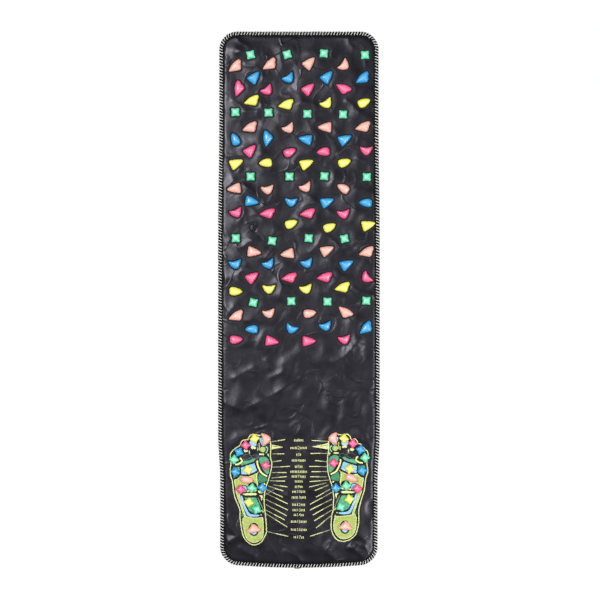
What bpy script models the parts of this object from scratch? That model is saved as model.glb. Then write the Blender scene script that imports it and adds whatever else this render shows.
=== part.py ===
# Foot massage mat: a padded mat with massage stones in a field of rows, more stones on a foot chart at
# its near end, and an overlocked edge all round. It folds double across the bare band between them.
#
# Frame: +X to the right, +Y from the chart to the far end, +Z up. The origin is under the middle of
# the mat, on the surface it lies on. Everything is in metres; mm() turns millimetres into metres.

import math

import bmesh
import bpy
from mathutils import Matrix, Vector


def mm(value):
    return value * 0.001


# Driving dimensions

LENGTH = 1.200
WIDTH = 0.360
THREAD_TAIL = mm(3.4)  # how far the end of the seam's thread sticks out past the near edge
TAIL_WIDTH = mm(3.0)
MIDDLE_Y = THREAD_TAIL / 2  # so that the whole object is centred on the origin
FAR_CORNER = mm(40)  # corner radius at the far end
NEAR_CORNER = mm(38)  # corner radius at the chart end
NEAR_BOW = mm(9)  # how far the chart end bulges between its corners
FAR_NARROWING = 0.014  # share of the width that the far end is narrower by
NEAR_NARROWING = 0.026  # and the chart end
FAR_TAPER = (mm(150), mm(400))  # between these places the width changes to the end's
NEAR_TAPER = (mm(-300), mm(-410))
BOW_TAPER = (mm(-470), mm(-600))

COVER = mm(1.0)  # thickness of the top and bottom covers
PAD_BOTTOM = mm(1.3)
PAD_TOP = mm(4.6)
TOP_UNDER = mm(4.9)  # underside of the top cover, over the padding
MAT_TOP = TOP_UNDER + COVER
GAP = mm(0.3)

# The rim, where the two covers are pressed together inside the stitching
STITCH_REACH = mm(9.0)  # how far the stitching laps over the covers
STITCH_WALL = mm(0.6)
STITCH_FACE = mm(0.8)  # thickness of the thread round the cut edge
STITCH_LOW = mm(0.5)
STITCH_HIGH = mm(4.7)
RIM_EDGE = mm(1.1)  # the covers' cut edge, in from the outside of the stitching
RIM_INNER = mm(9.6)
PUFF_START = mm(15.0)  # the mat has its full thickness from here inwards
RIM_BOTTOM_COVER = mm(1.4)
RIM_TOP_COVER = mm(2.8)
BEND_SHIFT = mm(0.3)  # a cover's hollow side bends this much further in than its round side
PAD_EDGE = [  # the padding's edge, in from the start of the full thickness, and its heights
    (mm(1.5), PAD_BOTTOM), (mm(0.8), mm(2.6)), (mm(0.8), mm(3.2)), (mm(2.4), PAD_TOP),
]
# The thread's end, seen from above: places across the mat and in from its near edge
TAIL_PATH = [
    (mm(2), mm(-0.9)), (mm(-3.5), TAIL_WIDTH / 2 - THREAD_TAIL), (mm(-8.5), TAIL_WIDTH / 2 - THREAD_TAIL),
]
TAIL_THINNER = mm(1.0)  # on each face than the stitching

# Stones
STONE_HEIGHT = mm(8.8)
STAR_HEIGHT = mm(7.6)
STONE_BASE = MAT_TOP + GAP
PILLOW = [(0.0, 1.0), (0.58, 0.92), (1.0, 0.45)]  # share of a stone's height, share of its outline
POST = mm(6.0)  # side of the square post under a stone
STRIP_TOP = PAD_TOP
STRIP_BOTTOM = mm(3.4)
ROW_STRIP = mm(17.0)  # width of the straight strip under a row of stones
CHART_STRIP = mm(8.0)
STRIP_END = mm(4.0)  # how far a strip runs past its last post
ROW_PITCH = mm(27.8)
FIRST_ROW = mm(550.3)
CHART_Y = mm(-298.3)  # the places of the chart's stones are counted from here

# The storage fold. The mat bends at two lines across the bare band, so that the band between them
# stands up as a spine and the stones of both halves clear each other.
FOLD_LINES = (mm(-190), mm(-210))
FOLD_GAP = mm(0.3)

CORNER_STEPS = 6
LONG_SIDE_STEPS = 10
SHORT_SIDE_STEPS = 4
HOLE_SIDES = 6
OVERRUN = mm(0.6)  # how far a cutter runs past the face it cuts
WELD = mm(0.001)

COLOURS = {  # sRGB
    "cover": ("#2f2e33", 0.42),
    "backing": ("#3a3a3d", 0.9),
    "padding": ("#3e3e41", 0.95),
    "stitching": ("#77777a", 0.85),
    "green": ("#7fe3b0", 0.4),
    "salmon": ("#f7b6a6", 0.4),
    "blue": ("#3ea4e2", 0.4),
    "pink": ("#ee5c90", 0.4),
    "yellow": ("#f5f36b", 0.4),
}

# Stone outlines in millimetres, seen from above, anticlockwise from the first tip
STONES = {
    "star": [(8.8, 8.8), (0, 6.2), (-8.8, 8.8), (-6.2, 0), (-8.8, -8.8), (0, -6.2), (8.8, -8.8), (6.2, 0)],
    "gem": [(8.0, 8.0), (0, 5.9), (-8.0, 8.0), (-5.9, 0), (-8.0, -8.0), (0, -5.9), (8.0, -8.0), (5.9, 0)],
    "fin": [(6.6, 16.4), (-0.5, 12.7), (-9.2, 5.0), (-17.0, -10.2), (-16.0, -12.8),
            (-1.4, -10.9), (9.3, -8.8), (11.2, -2.0), (9.8, 4.0), (10.5, 11.8)],
    "fan": [(18.2, 2.0), (7.4, 7.6), (-8.6, 12.2), (-11.4, 10.0), (-12.0, 0.0),
            (-11.4, -10.0), (-8.6, -12.2), (7.4, -7.6), (18.2, -2.0)],
    "moon": [(2.6, 17.3), (-0.4, 11.6), (-4.5, 4.2), (-10.6, -2.6), (-15.0, -4.8),
             (-13.2, -8.6), (-3.3, -11.0), (7.4, -9.4), (11.0, -3.2), (9.2, 5.6)],
    "drop": [(15.2, 9.0), (8.4, 12.2), (-4.6, 10.8), (-13.0, 6.8), (-14.0, 0.4),
             (-9.2, -9.6), (-4.0, -11.2), (3.6, -8.4), (11.6, -0.4)],
    "oval": [(14.4, -1.0), (9.0, 5.4), (-2.0, 8.2), (-10.6, 6.0), (-14.2, -0.6),
             (-11.0, -6.6), (0.0, -8.6), (9.6, -5.8)],
    "boat": [(16.0, 1.0), (6.6, 6.2), (-3.4, 12.6), (-7.0, 9.0), (-15.0, -3.0),
             (-15.4, -6.4), (-3.0, -8.6), (8.0, -6.6)],
}

# The field. Each row is a colour and its stones from left to right: outline, turn in degrees,
# position across the mat and offset along it from the row's line, both in millimetres.
FIELD = [
    ("green", [("star", 12, -108, -1), ("star", 16, -26, 0), ("star", -5, 56, 2), ("star", 3, 148, -1)]),
    ("salmon", [("fin", 0, -140, 2), ("fin", -3, -63, 6), ("fan", 47, 22, 7), ("moon", 0, 101, 4)]),
    ("blue", [("fan", 50, -101, 3), ("moon", -20, -23, 3), ("fan", 48, 62, 4), ("fin", -4, 145, 3)]),
    ("pink", [("fin", 35, -134, 9), ("moon", -17, -71, 4), ("fan", 43, 20, 5), ("fin", -65, 101, 6)]),
    ("yellow", [("fin", -18, -103, 8), ("fin", -23, -26, -1), ("moon", -20, 62, 2), ("drop", 0, 145, 2)]),
    ("green", [("star", 2, -142, 10), ("star", 3, -68, 9), ("star", 0, 19, 6), ("star", -2, 99, 5)]),
    ("salmon", [("fin", -16, -107, 4), ("moon", -22, -23, 2), ("fan", 180, 61, 4), ("fin", -21, 146, 5)]),
    ("blue", [("drop", 88, -141, 4), ("fin", 44, -70, 8), ("fan", 169, 17, 4), ("fan", 28, 101, 4)]),
    ("pink", [("fan", 46, -110, 6), ("drop", 1, -21, 2), ("drop", 162, 56, 6), ("moon", -52, 151, 8)]),
    ("yellow", [("fan", 25, -142, 6), ("drop", 160, -73, 9), ("fan", 24, 15, 5), ("drop", -5, 101, 7)]),
    ("green", [("star", 1, -108, 5), ("star", -1, -21, 5), ("star", -5, 57, 6), ("star", 0, 152, 4)]),
    ("salmon", [("fan", 188, -142, 6), ("moon", -41, -70, 4), ("moon", -27, 15, 9), ("drop", 124, 101, 7)]),
    ("blue", [("fan", -9, -108, 5), ("moon", -53, -17, 4), ("fan", 22, 61, 3), ("drop", 152, 151, 3)]),
    ("pink", [("moon", -31, -140, 8), ("fin", -29, -68, 6), ("fin", -27, 22, 6), ("moon", -43, 100, 5)]),
    ("yellow", [("drop", -2, -18, 9), ("drop", 0, 68, 1), ("fan", 16, 153, 7)]),
    ("green", [("star", 0, -141, 6), ("star", -8, -60, 0), ("star", -4, 22, 6), ("star", 12, 102, 5)]),
    ("salmon", [("fan", -7, -103, 3), ("fan", 189, -23, -1), ("fan", 25, 61, 6), ("fin", -19, 154, 3)]),
    ("blue", [("moon", -40, -142, 4), ("moon", -28, -68, 4), ("moon", -34, 18, 6), ("fan", 28, 105, 2)]),
    ("pink", [("fan", 37, -106, 1), ("fin", -27, -19, 1), ("fin", -28, 60, 2), ("moon", -105, 152, 1)]),
    ("yellow", [("drop", -28, -143, -3), ("moon", -52, -67, 4), ("moon", -37, 16, 4), ("fin", -22, 100, 7)]),
    ("green", [("star", -13, -102, 1), ("star", 2, -17, 4), ("star", 0, 64, 3), ("star", -3, 151, 5)]),
    ("salmon", [("fin", -14, -138, -1), ("moon", -39, -67, 5), ("drop", -15, 23, 3), ("fin", -76, 105, 6)]),
    ("blue", [("drop", 155, -104, -2), ("moon", -74, -16, -2), ("moon", -34, 60, 4), ("fin", 4, 152, 0)]),
    ("pink", [("drop", -22, -142, 0), ("fan", -9, -63, -2), ("fan", 1, 20, -2), ("moon", -40, 102, 2)]),
]

# The hole pattern where the fifteenth row's first stone has come off: millimetres from the spot
LOST_STONE = (mm(-99), mm(165))
PRONG_HOLES = [(-3.2, 3.4), (0.6, 0.9), (0.2, -3.6), (3.9, 3.2), (4.4, -2.6)]
PRONG_HOLE_RADIUS = mm(1.1)

# The chart's stones: node name, colour, outline and then, for each stone of the node, its turn and
# its place in millimetres. Where a strip would meet another stone's, a place with no turn bends it.
LEFT_CHART = [
    ("second_toe_and_ball_stones", "yellow", "gem", [(55, -99, -11), (None, -98, -50), (62, -114, -81)]),
    ("middle_toe_stone", "pink", "gem", [(50, -119, -26)]),
    ("outer_toe_and_ball_stones", "blue", "gem", [(18, -134, -41), (None, -132, -64), (33, -142, -86)]),
    ("little_toe_stone", "green", "gem", [(40, -145, -58)]),
    ("inner_ball_stone", "pink", "gem", [(42, -74, -71)]),
    ("sole_stone", "salmon", "oval", [(0, -116, -103)]),
    ("outer_arch_stone", "pink", "gem", [(45, -130, -125)]),
    ("arch_and_waist_stones", "green", "gem", [(38, -105, -122), (20, -94, -170)]),
    ("inner_arch_stone", "blue", "gem", [(42, -82, -121)]),
    ("waist_stone", "yellow", "gem", [(36, -112, -154)]),
]
RIGHT_CHART = [
    ("second_toe_and_ball_stones", "yellow", "gem", [(38, 101, -11), (None, 102, -50), (30, 114, -79)]),
    ("middle_toe_stone", "pink", "gem", [(40, 121, -22)]),
    ("outer_toe_and_ball_stones", "blue", "gem", [(30, 138, -36), (None, 134, -58), (55, 142, -83)]),
    ("little_toe_stone", "green", "gem", [(50, 148, -54)]),
    ("inner_ball_stone", "pink", "gem", [(48, 78, -66)]),
    ("sole_stone", "salmon", "oval", [(-12, 118, -99)]),
    ("outer_arch_stone", "pink", "gem", [(45, 131, -123)]),
    ("arch_and_waist_stones", "green", "gem", [(52, 106, -117), (70, 94, -164)]),
    ("inner_arch_stone", "blue", "gem", [(48, 83, -122)]),
    ("waist_stone", "yellow", "gem", [(54, 113, -147)]),
]
BOTH_FEET = [  # one strip holds the left foot's stone and the right foot's
    ("big_toe_stones", "salmon", "moon", [(42, -74, -12), (-142, 77, -11)]),
    ("heel_stones", "salmon", "boat", [(10, -101, -214), (-14, 105, -208)]),
]


# Scene and materials


def clear_scene():
    for obj in list(bpy.data.objects):
        bpy.data.objects.remove(obj)


def linear(hex_colour):
    """A Principled BSDF takes linear values, and the colours are written as sRGB."""
    channels = [int(hex_colour[i:i + 2], 16) / 255 for i in (1, 3, 5)]
    return [c / 12.92 if c <= 0.04045 else ((c + 0.055) / 1.055) ** 2.4 for c in channels] + [1.0]


def make_materials():
    made = {}
    for name, (colour, roughness) in COLOURS.items():
        material = bpy.data.materials.new(name)
        material.use_nodes = True
        shader = material.node_tree.nodes["Principled BSDF"]
        shader.inputs["Base Color"].default_value = linear(colour)
        shader.inputs["Roughness"].default_value = roughness
        shader.inputs["Metallic"].default_value = 0.0
        made[name] = material
    return made


def new_collection(name):
    collection = bpy.data.collections.new(name)
    bpy.context.scene.collection.children.link(collection)
    return collection


def object_from(bm, name, collection, material=None):
    bmesh.ops.recalc_face_normals(bm, faces=bm.faces[:])
    mesh = bpy.data.meshes.new(name)
    bm.to_mesh(mesh)
    bm.free()
    if material:
        mesh.materials.append(material)
    obj = bpy.data.objects.new(name, mesh)
    collection.objects.link(obj)
    return obj


def as_cutter(obj):
    obj.hide_render = True
    obj.display_type = "WIRE"
    return obj


def boolean(obj, operation, other):
    modifier = obj.modifiers.new(operation.title(), "BOOLEAN")
    modifier.operation = operation
    modifier.solver = "EXACT"
    modifier.object = other


# The mat's outline


def smooth_step(start, end, value):
    t = min(1.0, max(0.0, (value - start) / (end - start)))
    return t * t * (3 - 2 * t)


def shaped(x, y):
    """A point of the plain rounded rectangle, moved to the real mat's slightly uneven outline."""
    narrowing = FAR_NARROWING * smooth_step(*FAR_TAPER, y) + NEAR_NARROWING * smooth_step(*NEAR_TAPER, y)
    near_end = smooth_step(*BOW_TAPER, y)
    return x * (1 - narrowing), y + near_end * NEAR_BOW * (2 * x / WIDTH) ** 2 + MIDDLE_Y


def arc(centre_x, centre_y, radius, start_degrees):
    points = []
    for step in range(CORNER_STEPS + 1):
        angle = math.radians(start_degrees + 90 * step / CORNER_STEPS)
        points.append((centre_x + radius * math.cos(angle), centre_y + radius * math.sin(angle)))
    return points


def between(start, end, steps):
    return [
        (start[0] + (end[0] - start[0]) * k / steps, start[1] + (end[1] - start[1]) * k / steps)
        for k in range(1, steps)
    ]


def outline(inset):
    """The mat's outline, this far in from the outside of the stitching, anticlockwise."""
    half_x, half_y = WIDTH / 2 - inset, LENGTH / 2 - inset
    far, near = FAR_CORNER - inset, NEAR_CORNER - inset
    corners = [
        arc(half_x - near, -half_y + near, near, -90),
        arc(half_x - far, half_y - far, far, 0),
        arc(-half_x + far, half_y - far, far, 90),
        arc(-half_x + near, -half_y + near, near, 180),
    ]
    sides = [LONG_SIDE_STEPS, 1, LONG_SIDE_STEPS, SHORT_SIDE_STEPS]
    points = []
    for k, corner in enumerate(corners):
        points += corner + between(corner[-1], corners[(k + 1) % 4][0], sides[k])
    return [shaped(x, y) for x, y in points]


def stack_rings(bm, rings):
    """Skins each ring of points to the next with quads. Rings are lists of (x, y, z)."""
    made = [[bm.verts.new(point) for point in ring] for ring in rings]
    count = len(made[0])
    for low, high in zip(made, made[1:]):
        for k in range(count):
            bm.faces.new((low[k], low[(k + 1) % count], high[(k + 1) % count], high[k]))
    return made


def layer(name, profile, collection, material):
    """A sheet whose section follows profile, a list of (inset, height), with both ends capped."""
    bm = bmesh.new()
    rings = stack_rings(bm, [[(x, y, z) for x, y in outline(inset)] for inset, z in profile])
    bm.faces.new(rings[0])
    bm.faces.new(rings[-1])
    return object_from(bm, name, collection, material)


def edge_band(name, profile, collection, material):
    """A band whose closed section runs all round the mat."""
    bm = bmesh.new()
    stack_rings(bm, [[(x, y, z) for x, y in outline(inset)] for inset, z in profile + profile[:1]])
    bmesh.ops.remove_doubles(bm, verts=bm.verts[:], dist=WELD)
    return object_from(bm, name, collection, material)


def block(name, low, high, collection):
    bm = bmesh.new()
    bmesh.ops.create_cube(bm, size=1)
    low, high = Vector(low), Vector(high)
    size = high - low
    bmesh.ops.scale(bm, vec=size, verts=bm.verts[:])
    bmesh.ops.translate(bm, vec=(low + high) / 2, verts=bm.verts[:])
    return as_cutter(object_from(bm, name, collection))


# Stones, and the strips that hold them from inside the mat


def stone_rings(kind, turn, place, height):
    """The stone's rings from its base to its crown: a pillow with steep sides and a flat top."""
    spin = Matrix.Rotation(math.radians(turn), 2)
    rings = []
    for share, size in PILLOW:
        ring = []
        for point in STONES[kind]:
            x, y = spin @ Vector(point) * mm(1) * size
            ring.append((place[0] + x, place[1] + y, STONE_BASE + height * share))
        rings.append(ring)
    return rings


def add_stone(bm, kind, turn, place):
    """One stone with the square post that goes down through the cover into its strip."""
    height = STAR_HEIGHT if kind in ("star", "gem") else STONE_HEIGHT
    rings = stack_rings(bm, stone_rings(kind, turn, place, height))
    bm.faces.new(rings[-1])
    corners = [(-1, -1), (1, -1), (1, 1), (-1, 1)]
    foot = (STRIP_BOTTOM + STRIP_TOP) / 2
    post = stack_rings(bm, [
        [(place[0] + x * POST / 2, place[1] + y * POST / 2, z) for x, y in corners]
        for z in (foot, STONE_BASE)
    ])
    bm.faces.new(post[0])
    edges = [edge for edge in bm.edges if edge.is_boundary]
    bmesh.ops.triangle_fill(bm, edges=edges, use_beauty=True)


def row_line(places):
    """The two ends of the straight line that lies closest to these places."""
    count = len(places)
    middle_x = sum(x for x, _ in places) / count
    middle_y = sum(y for _, y in places) / count
    spread = sum((x - middle_x) ** 2 for x, _ in places)
    slope = sum((x - middle_x) * (y - middle_y) for x, y in places) / spread
    return [(x, middle_y + slope * (x - middle_x)) for x in (places[0][0], places[-1][0])]


def ribbon_outline(places, width, past):
    """The outline of a flat strip through these places, which runs this far past the end ones."""
    points = [Vector(place) for place in places]
    if len(points) == 1:
        points = [points[0] - Vector((past, 0)), points[0] + Vector((past, 0))]
    else:
        points[0] = points[0] + (points[0] - points[1]).normalized() * past
        points[-1] = points[-1] + (points[-1] - points[-2]).normalized() * past
    left, right = [], []
    for k, point in enumerate(points):
        before = (point - points[k - 1]).normalized() if k else None
        after = (points[k + 1] - point).normalized() if k + 1 < len(points) else None
        along = ((before or after) + (after or before)).normalized()
        across = Vector((-along.y, along.x))
        reach = width / 2 / across.dot(Vector((-(before or after).y, (before or after).x)))
        left.append(point + across * reach)
        right.append(point - across * reach)
    return right + left[::-1]


def add_prism(bm, points, low, high):
    rings = stack_rings(bm, [[(x, y, z) for x, y in points] for z in (low, high)])
    bm.faces.new(rings[0])
    bm.faces.new(rings[-1])


def stone_group(group, width, material, parts, cutters):
    """One node: the group's stones, joined by the strip that holds them."""
    name, _, stones, path = group
    bm = bmesh.new()
    for kind, turn, place in stones:
        single = bmesh.new()
        add_stone(single, kind, turn, place)
        mesh = bpy.data.meshes.new("one_stone")
        single.to_mesh(mesh)
        single.free()
        bm.from_mesh(mesh)
        bpy.data.meshes.remove(mesh)
    tops = as_cutter(object_from(bm, name + "_tops", cutters))
    strip = bmesh.new()
    add_prism(strip, ribbon_outline(path, width, STRIP_END), STRIP_BOTTOM, STRIP_TOP)
    node = object_from(strip, name, parts, material)
    boolean(node, "UNION", tops)


# The whole mat


def field_groups():
    """Each row's name, colour, stones and strip path."""
    for number, (colour, stones) in enumerate(FIELD):
        line = FIRST_ROW - number * ROW_PITCH
        placed = [(kind, turn, (mm(x), line + mm(off))) for kind, turn, x, off in stones]
        path = row_line([place for _, _, place in placed])
        yield f"stone_row_{number + 1:02d}_{colour}", colour, placed, path


def chart_groups():
    for side, stones in (("left_", LEFT_CHART), ("right_", RIGHT_CHART), ("", BOTH_FEET)):
        for name, colour, kind, spots in stones:
            path = [(mm(x), CHART_Y + mm(y)) for _, x, y in spots]
            placed = [(kind, turn, place) for (turn, _, _), place in zip(spots, path) if turn is not None]
            yield side + name, colour, placed, path


def hole_cutter(groups, name, collection):
    """Square holes for the posts, with running room."""
    bm = bmesh.new()
    half = POST / 2 + GAP
    for _, _, stones, _ in groups:
        for _, _, (x, y) in stones:
            square = [(x - half, y - half), (x + half, y - half), (x + half, y + half), (x - half, y + half)]
            add_prism(bm, square, TOP_UNDER - OVERRUN, MAT_TOP + OVERRUN)
    return as_cutter(object_from(bm, name, collection))


def prong_hole_cutter(collection):
    bm = bmesh.new()
    for x, y in PRONG_HOLES:
        place = Matrix.Translation((LOST_STONE[0] + mm(x), LOST_STONE[1] + mm(y), TOP_UNDER + COVER / 2))
        bmesh.ops.create_cone(bm, cap_ends=True, segments=HOLE_SIDES, radius1=PRONG_HOLE_RADIUS,
                              radius2=PRONG_HOLE_RADIUS, depth=COVER * 3, matrix=place)
    return as_cutter(object_from(bm, "prong_holes", collection))


def groove_cutter(groups, width, name, collection):
    """The strips' room in the top of the padding."""
    bm = bmesh.new()
    for _, _, _, path in groups:
        ribbon = ribbon_outline(path, width + 2 * GAP, STRIP_END + GAP)
        add_prism(bm, ribbon, STRIP_BOTTOM - GAP, STRIP_TOP + OVERRUN)
    return as_cutter(object_from(bm, name, collection))


def thread_tail(collection):
    """The end of the overlock seam's thread, which sticks out at the middle of the chart end."""
    near_edge = MIDDLE_Y - LENGTH / 2
    path = [(x, near_edge + y) for x, y in TAIL_PATH]
    bm = bmesh.new()
    add_prism(bm, ribbon_outline(path, TAIL_WIDTH, 0), STITCH_LOW + TAIL_THINNER, STITCH_HIGH - TAIL_THINNER)
    return as_cutter(object_from(bm, "thread_tail", collection))


def cover_layers():
    """The mat's three layers: material and section, as (inset, height) points."""
    return {
        "bottom_cover": ("backing", [
            (PUFF_START, 0), (RIM_INNER, RIM_BOTTOM_COVER), (RIM_EDGE, RIM_BOTTOM_COVER),
            (RIM_EDGE, RIM_BOTTOM_COVER + COVER), (RIM_INNER + BEND_SHIFT, RIM_BOTTOM_COVER + COVER),
            (PUFF_START + BEND_SHIFT, COVER)]),
        "padding": ("padding", [(PUFF_START + x, z) for x, z in PAD_EDGE]),
        "top_cover": ("cover", [
            (PUFF_START + BEND_SHIFT, TOP_UNDER), (RIM_INNER + BEND_SHIFT, RIM_TOP_COVER),
            (RIM_EDGE, RIM_TOP_COVER), (RIM_EDGE, RIM_TOP_COVER + COVER),
            (RIM_INNER, RIM_TOP_COVER + COVER), (PUFF_START, MAT_TOP)]),
    }


def stitching_section():
    """The thread's section: it wraps the cut edge and laps over both covers."""
    return [
        (0, STITCH_LOW), (0, STITCH_HIGH), (STITCH_REACH, STITCH_HIGH),
        (STITCH_REACH, STITCH_HIGH - STITCH_WALL), (STITCH_FACE, STITCH_HIGH - STITCH_WALL),
        (STITCH_FACE, STITCH_LOW + STITCH_WALL), (STITCH_REACH, STITCH_LOW + STITCH_WALL),
        (STITCH_REACH, STITCH_LOW)]


def panel_blocks(collection):
    """Blocks that cut the mat at the two fold lines. The band's edge is in two pieces."""
    far = LENGTH
    field_end, chart_end = FOLD_LINES
    band = (chart_end + FOLD_GAP / 2, field_end - FOLD_GAP / 2)
    bounds = {
        "field": (-far, far, field_end + FOLD_GAP / 2, far),
        "fold": (-far, far, *band),
        "chart": (-far, far, -far, chart_end - FOLD_GAP / 2),
        "fold_left": (-far, 0, *band),
        "fold_right": (0, far, *band),
    }
    return {
        name: block(name + "_panel", (x0, y0, -far), (x1, y1, far), collection)
        for name, (x0, x1, y0, y1) in bounds.items()
    }


def build():
    clear_scene()
    materials = make_materials()
    parts = new_collection("foot_massage_mat")
    cutters = new_collection("cutters")
    blocks = panel_blocks(cutters)
    groups = {"field": list(field_groups()), "fold": [], "chart": list(chart_groups())}
    widths = {"field": ROW_STRIP, "chart": CHART_STRIP}

    for panel, stones in groups.items():
        for name, (material, profile) in cover_layers().items():
            sheet = layer(f"{name}_{panel}", profile, parts, materials[material])
            boolean(sheet, "INTERSECT", blocks[panel])
            if name == "top_cover" and stones:
                boolean(sheet, "DIFFERENCE", hole_cutter(stones, panel + "_post_holes", cutters))
            if name == "top_cover" and panel == "field":
                boolean(sheet, "DIFFERENCE", prong_hole_cutter(cutters))
            if name == "padding" and stones:
                grooves = groove_cutter(stones, widths[panel], panel + "_grooves", cutters)
                boolean(sheet, "DIFFERENCE", grooves)
        for group in stones:
            stone_group(group, widths[panel], materials[group[1]], parts, cutters)

    for panel in ("field", "fold_left", "fold_right", "chart"):
        band = edge_band(f"edge_stitching_{panel}", stitching_section(), parts, materials["stitching"])
        boolean(band, "INTERSECT", blocks[panel])
        if panel == "chart":
            boolean(band, "UNION", thread_tail(cutters))


build()
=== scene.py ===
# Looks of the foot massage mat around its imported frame: the crumpled leather cover with its printed foot
# chart, the moulded stones, the overlocked edge, the foam and the backing.
#
# Everything is in metres, in the frame's own axes. mm() turns millimetres into metres.

import math

import bmesh
import bpy
import numpy as np
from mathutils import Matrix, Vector, noise
from mathutils.bvhtree import BVHTree
from mathutils.geometry import delaunay_2d_cdt
from mathutils.kdtree import KDTree


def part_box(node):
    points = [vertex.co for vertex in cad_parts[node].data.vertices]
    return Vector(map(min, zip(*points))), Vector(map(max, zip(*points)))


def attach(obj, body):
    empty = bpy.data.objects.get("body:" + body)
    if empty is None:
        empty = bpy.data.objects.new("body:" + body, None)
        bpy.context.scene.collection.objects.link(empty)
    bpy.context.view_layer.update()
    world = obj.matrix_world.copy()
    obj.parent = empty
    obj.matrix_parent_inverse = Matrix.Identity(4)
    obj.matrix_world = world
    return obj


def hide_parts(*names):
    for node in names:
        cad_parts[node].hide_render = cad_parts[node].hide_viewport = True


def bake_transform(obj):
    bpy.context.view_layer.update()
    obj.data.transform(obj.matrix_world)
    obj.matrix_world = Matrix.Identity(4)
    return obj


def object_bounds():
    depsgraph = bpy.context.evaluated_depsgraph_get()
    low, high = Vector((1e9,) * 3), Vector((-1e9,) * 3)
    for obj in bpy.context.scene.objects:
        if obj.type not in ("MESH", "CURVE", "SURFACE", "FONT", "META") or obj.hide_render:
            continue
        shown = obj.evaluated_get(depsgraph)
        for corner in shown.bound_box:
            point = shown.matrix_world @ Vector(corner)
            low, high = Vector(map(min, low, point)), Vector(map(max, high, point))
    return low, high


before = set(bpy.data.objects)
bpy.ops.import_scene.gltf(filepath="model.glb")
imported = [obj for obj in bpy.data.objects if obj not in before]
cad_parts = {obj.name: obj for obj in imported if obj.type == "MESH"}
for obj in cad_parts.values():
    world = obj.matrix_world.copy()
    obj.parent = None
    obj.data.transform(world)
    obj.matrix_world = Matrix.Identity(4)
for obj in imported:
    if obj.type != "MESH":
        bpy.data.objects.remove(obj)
cadLow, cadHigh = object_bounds()
print("frame loaded")


def mm(value):
    return value * 0.001


# The mat's outline and layers, from the frame

mat = {
    "threadTail": mm(3.4),  # the seam's thread end past the near edge
    "farCorner": mm(40),
    "nearCorner": mm(38),
    "nearBow": mm(9),  # bulge of the near edge between its corners
    "bowPlaces": (mm(-470), mm(-600)),  # it grows from nothing over these places along the mat
    "farNarrowing": 0.014,  # each end is this much narrower than the middle
    "farPlaces": (mm(150), mm(400)),
    "nearNarrowing": 0.026,
    "nearPlaces": (mm(-300), mm(-410)),
    "cutEdge": mm(1.1),  # the covers' cut edge, in from the outside of the stitching
    "rimInner": mm(9.4),  # the covers are pressed flat out to the edge from here
    "puffWidth": mm(8.5),  # and swell to the full thickness over this width near a stone
    "puffSpread": mm(18),  # and over up to this much more elsewhere, in patches
    "patchSize": mm(55),
    "patchRange": (0.08, 0.5),
    "patchClear": (mm(-2), mm(18)),  # the patches begin over these distances from a stone
    "rimTop": mm(3.8),  # heights of the pressed rim's upper and lower face
    "rimBottom": mm(1.4),
    "coverThickness": mm(1.0),
    "splitY": mm(-200),  # the soft layers are split here, in the middle of the fold band
}
mat["width"] = cadHigh[0] - cadLow[0]
mat["length"] = cadHigh[1] - cadLow[1] - mat["threadTail"]
mat["middleY"] = mat["threadTail"] / 2
mat["top"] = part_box("top_cover_field")[1][2]


def smoothStep(start, end, value):
    t = np.clip((value - start) / (end - start), 0, 1)
    return t * t * (3 - 2 * t)


def narrowing(y):
    far = mat["farNarrowing"] * smoothStep(*mat["farPlaces"], y)
    return far + mat["nearNarrowing"] * smoothStep(*mat["nearPlaces"], y)


def bow(x, y):
    return smoothStep(*mat["bowPlaces"], y) * mat["nearBow"] * (2 * x / mat["width"]) ** 2


def matOutline(inset, spacing):
    halfX, halfY = mat["width"] / 2 - inset, mat["length"] / 2 - inset
    far, near = mat["farCorner"] - inset, mat["nearCorner"] - inset
    corners = [
        (halfX - near, near - halfY, near, -90), (halfX - far, halfY - far, far, 0),
        (far - halfX, halfY - far, far, 90), (near - halfX, near - halfY, near, 180),
    ]
    arcs = []
    for centreX, centreY, radius, start in corners:
        steps = max(4, round(radius * math.pi / 2 / spacing))
        angles = [math.radians(start + 90 * k / steps) for k in range(steps + 1)]
        arcs.append([(centreX + radius * math.cos(a), centreY + radius * math.sin(a)) for a in angles])
    points = []
    for k, arc in enumerate(arcs):
        (x0, y0), (x1, y1) = arc[-1], arcs[(k + 1) % 4][0]
        steps = max(1, round(math.hypot(x1 - x0, y1 - y0) / spacing))
        side = [(x0 + (x1 - x0) * s / steps, y0 + (y1 - y0) * s / steps) for s in range(1, steps)]
        points += arc + side
    return [(float(x * (1 - narrowing(y))), float(y + bow(x, y) + mat["middleY"])) for x, y in points]


def panelPath(part, inset, spacing):
    # the outline on one side of the split line, anticlockwise from one of its ends to the other
    ring = matOutline(inset, spacing)
    side = 1 if part == "field" else -1
    least = spacing * 0.4  # a point nearer to the split line than this is left out
    keep = [side * (y - mat["splitY"]) > least for _, y in ring]
    start = next(k for k in range(len(ring)) if keep[k] and not keep[k - 1])
    path = []
    for k in range(len(ring)):
        if not keep[(start + k) % len(ring)]:
            break
        path.append(ring[(start + k) % len(ring)])
    endX = mat["width"] / 2 - inset
    return [(side * endX, mat["splitY"])] + path + [(-side * endX, mat["splitY"])]


def edgeInset(x, y):
    # how far in from the outside of the stitching a place is
    y = y - mat["middleY"]
    y = y - bow(x, y)
    x = x / (1 - narrowing(y))
    radius = np.where(y > 0, mat["farCorner"], mat["nearCorner"])
    beyondX = np.abs(x) - mat["width"] / 2 + radius
    beyondY = np.abs(y) - mat["length"] / 2 + radius
    corner = np.hypot(np.maximum(beyondX, 0), np.maximum(beyondY, 0))
    return radius - corner - np.minimum(np.maximum(beyondX, beyondY), 0)


# Loops in the plane

def signedArea(loop):
    return sum(a[0] * b[1] - b[0] * a[1] for a, b in zip(loop, loop[1:] + loop[:1])) / 2


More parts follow.
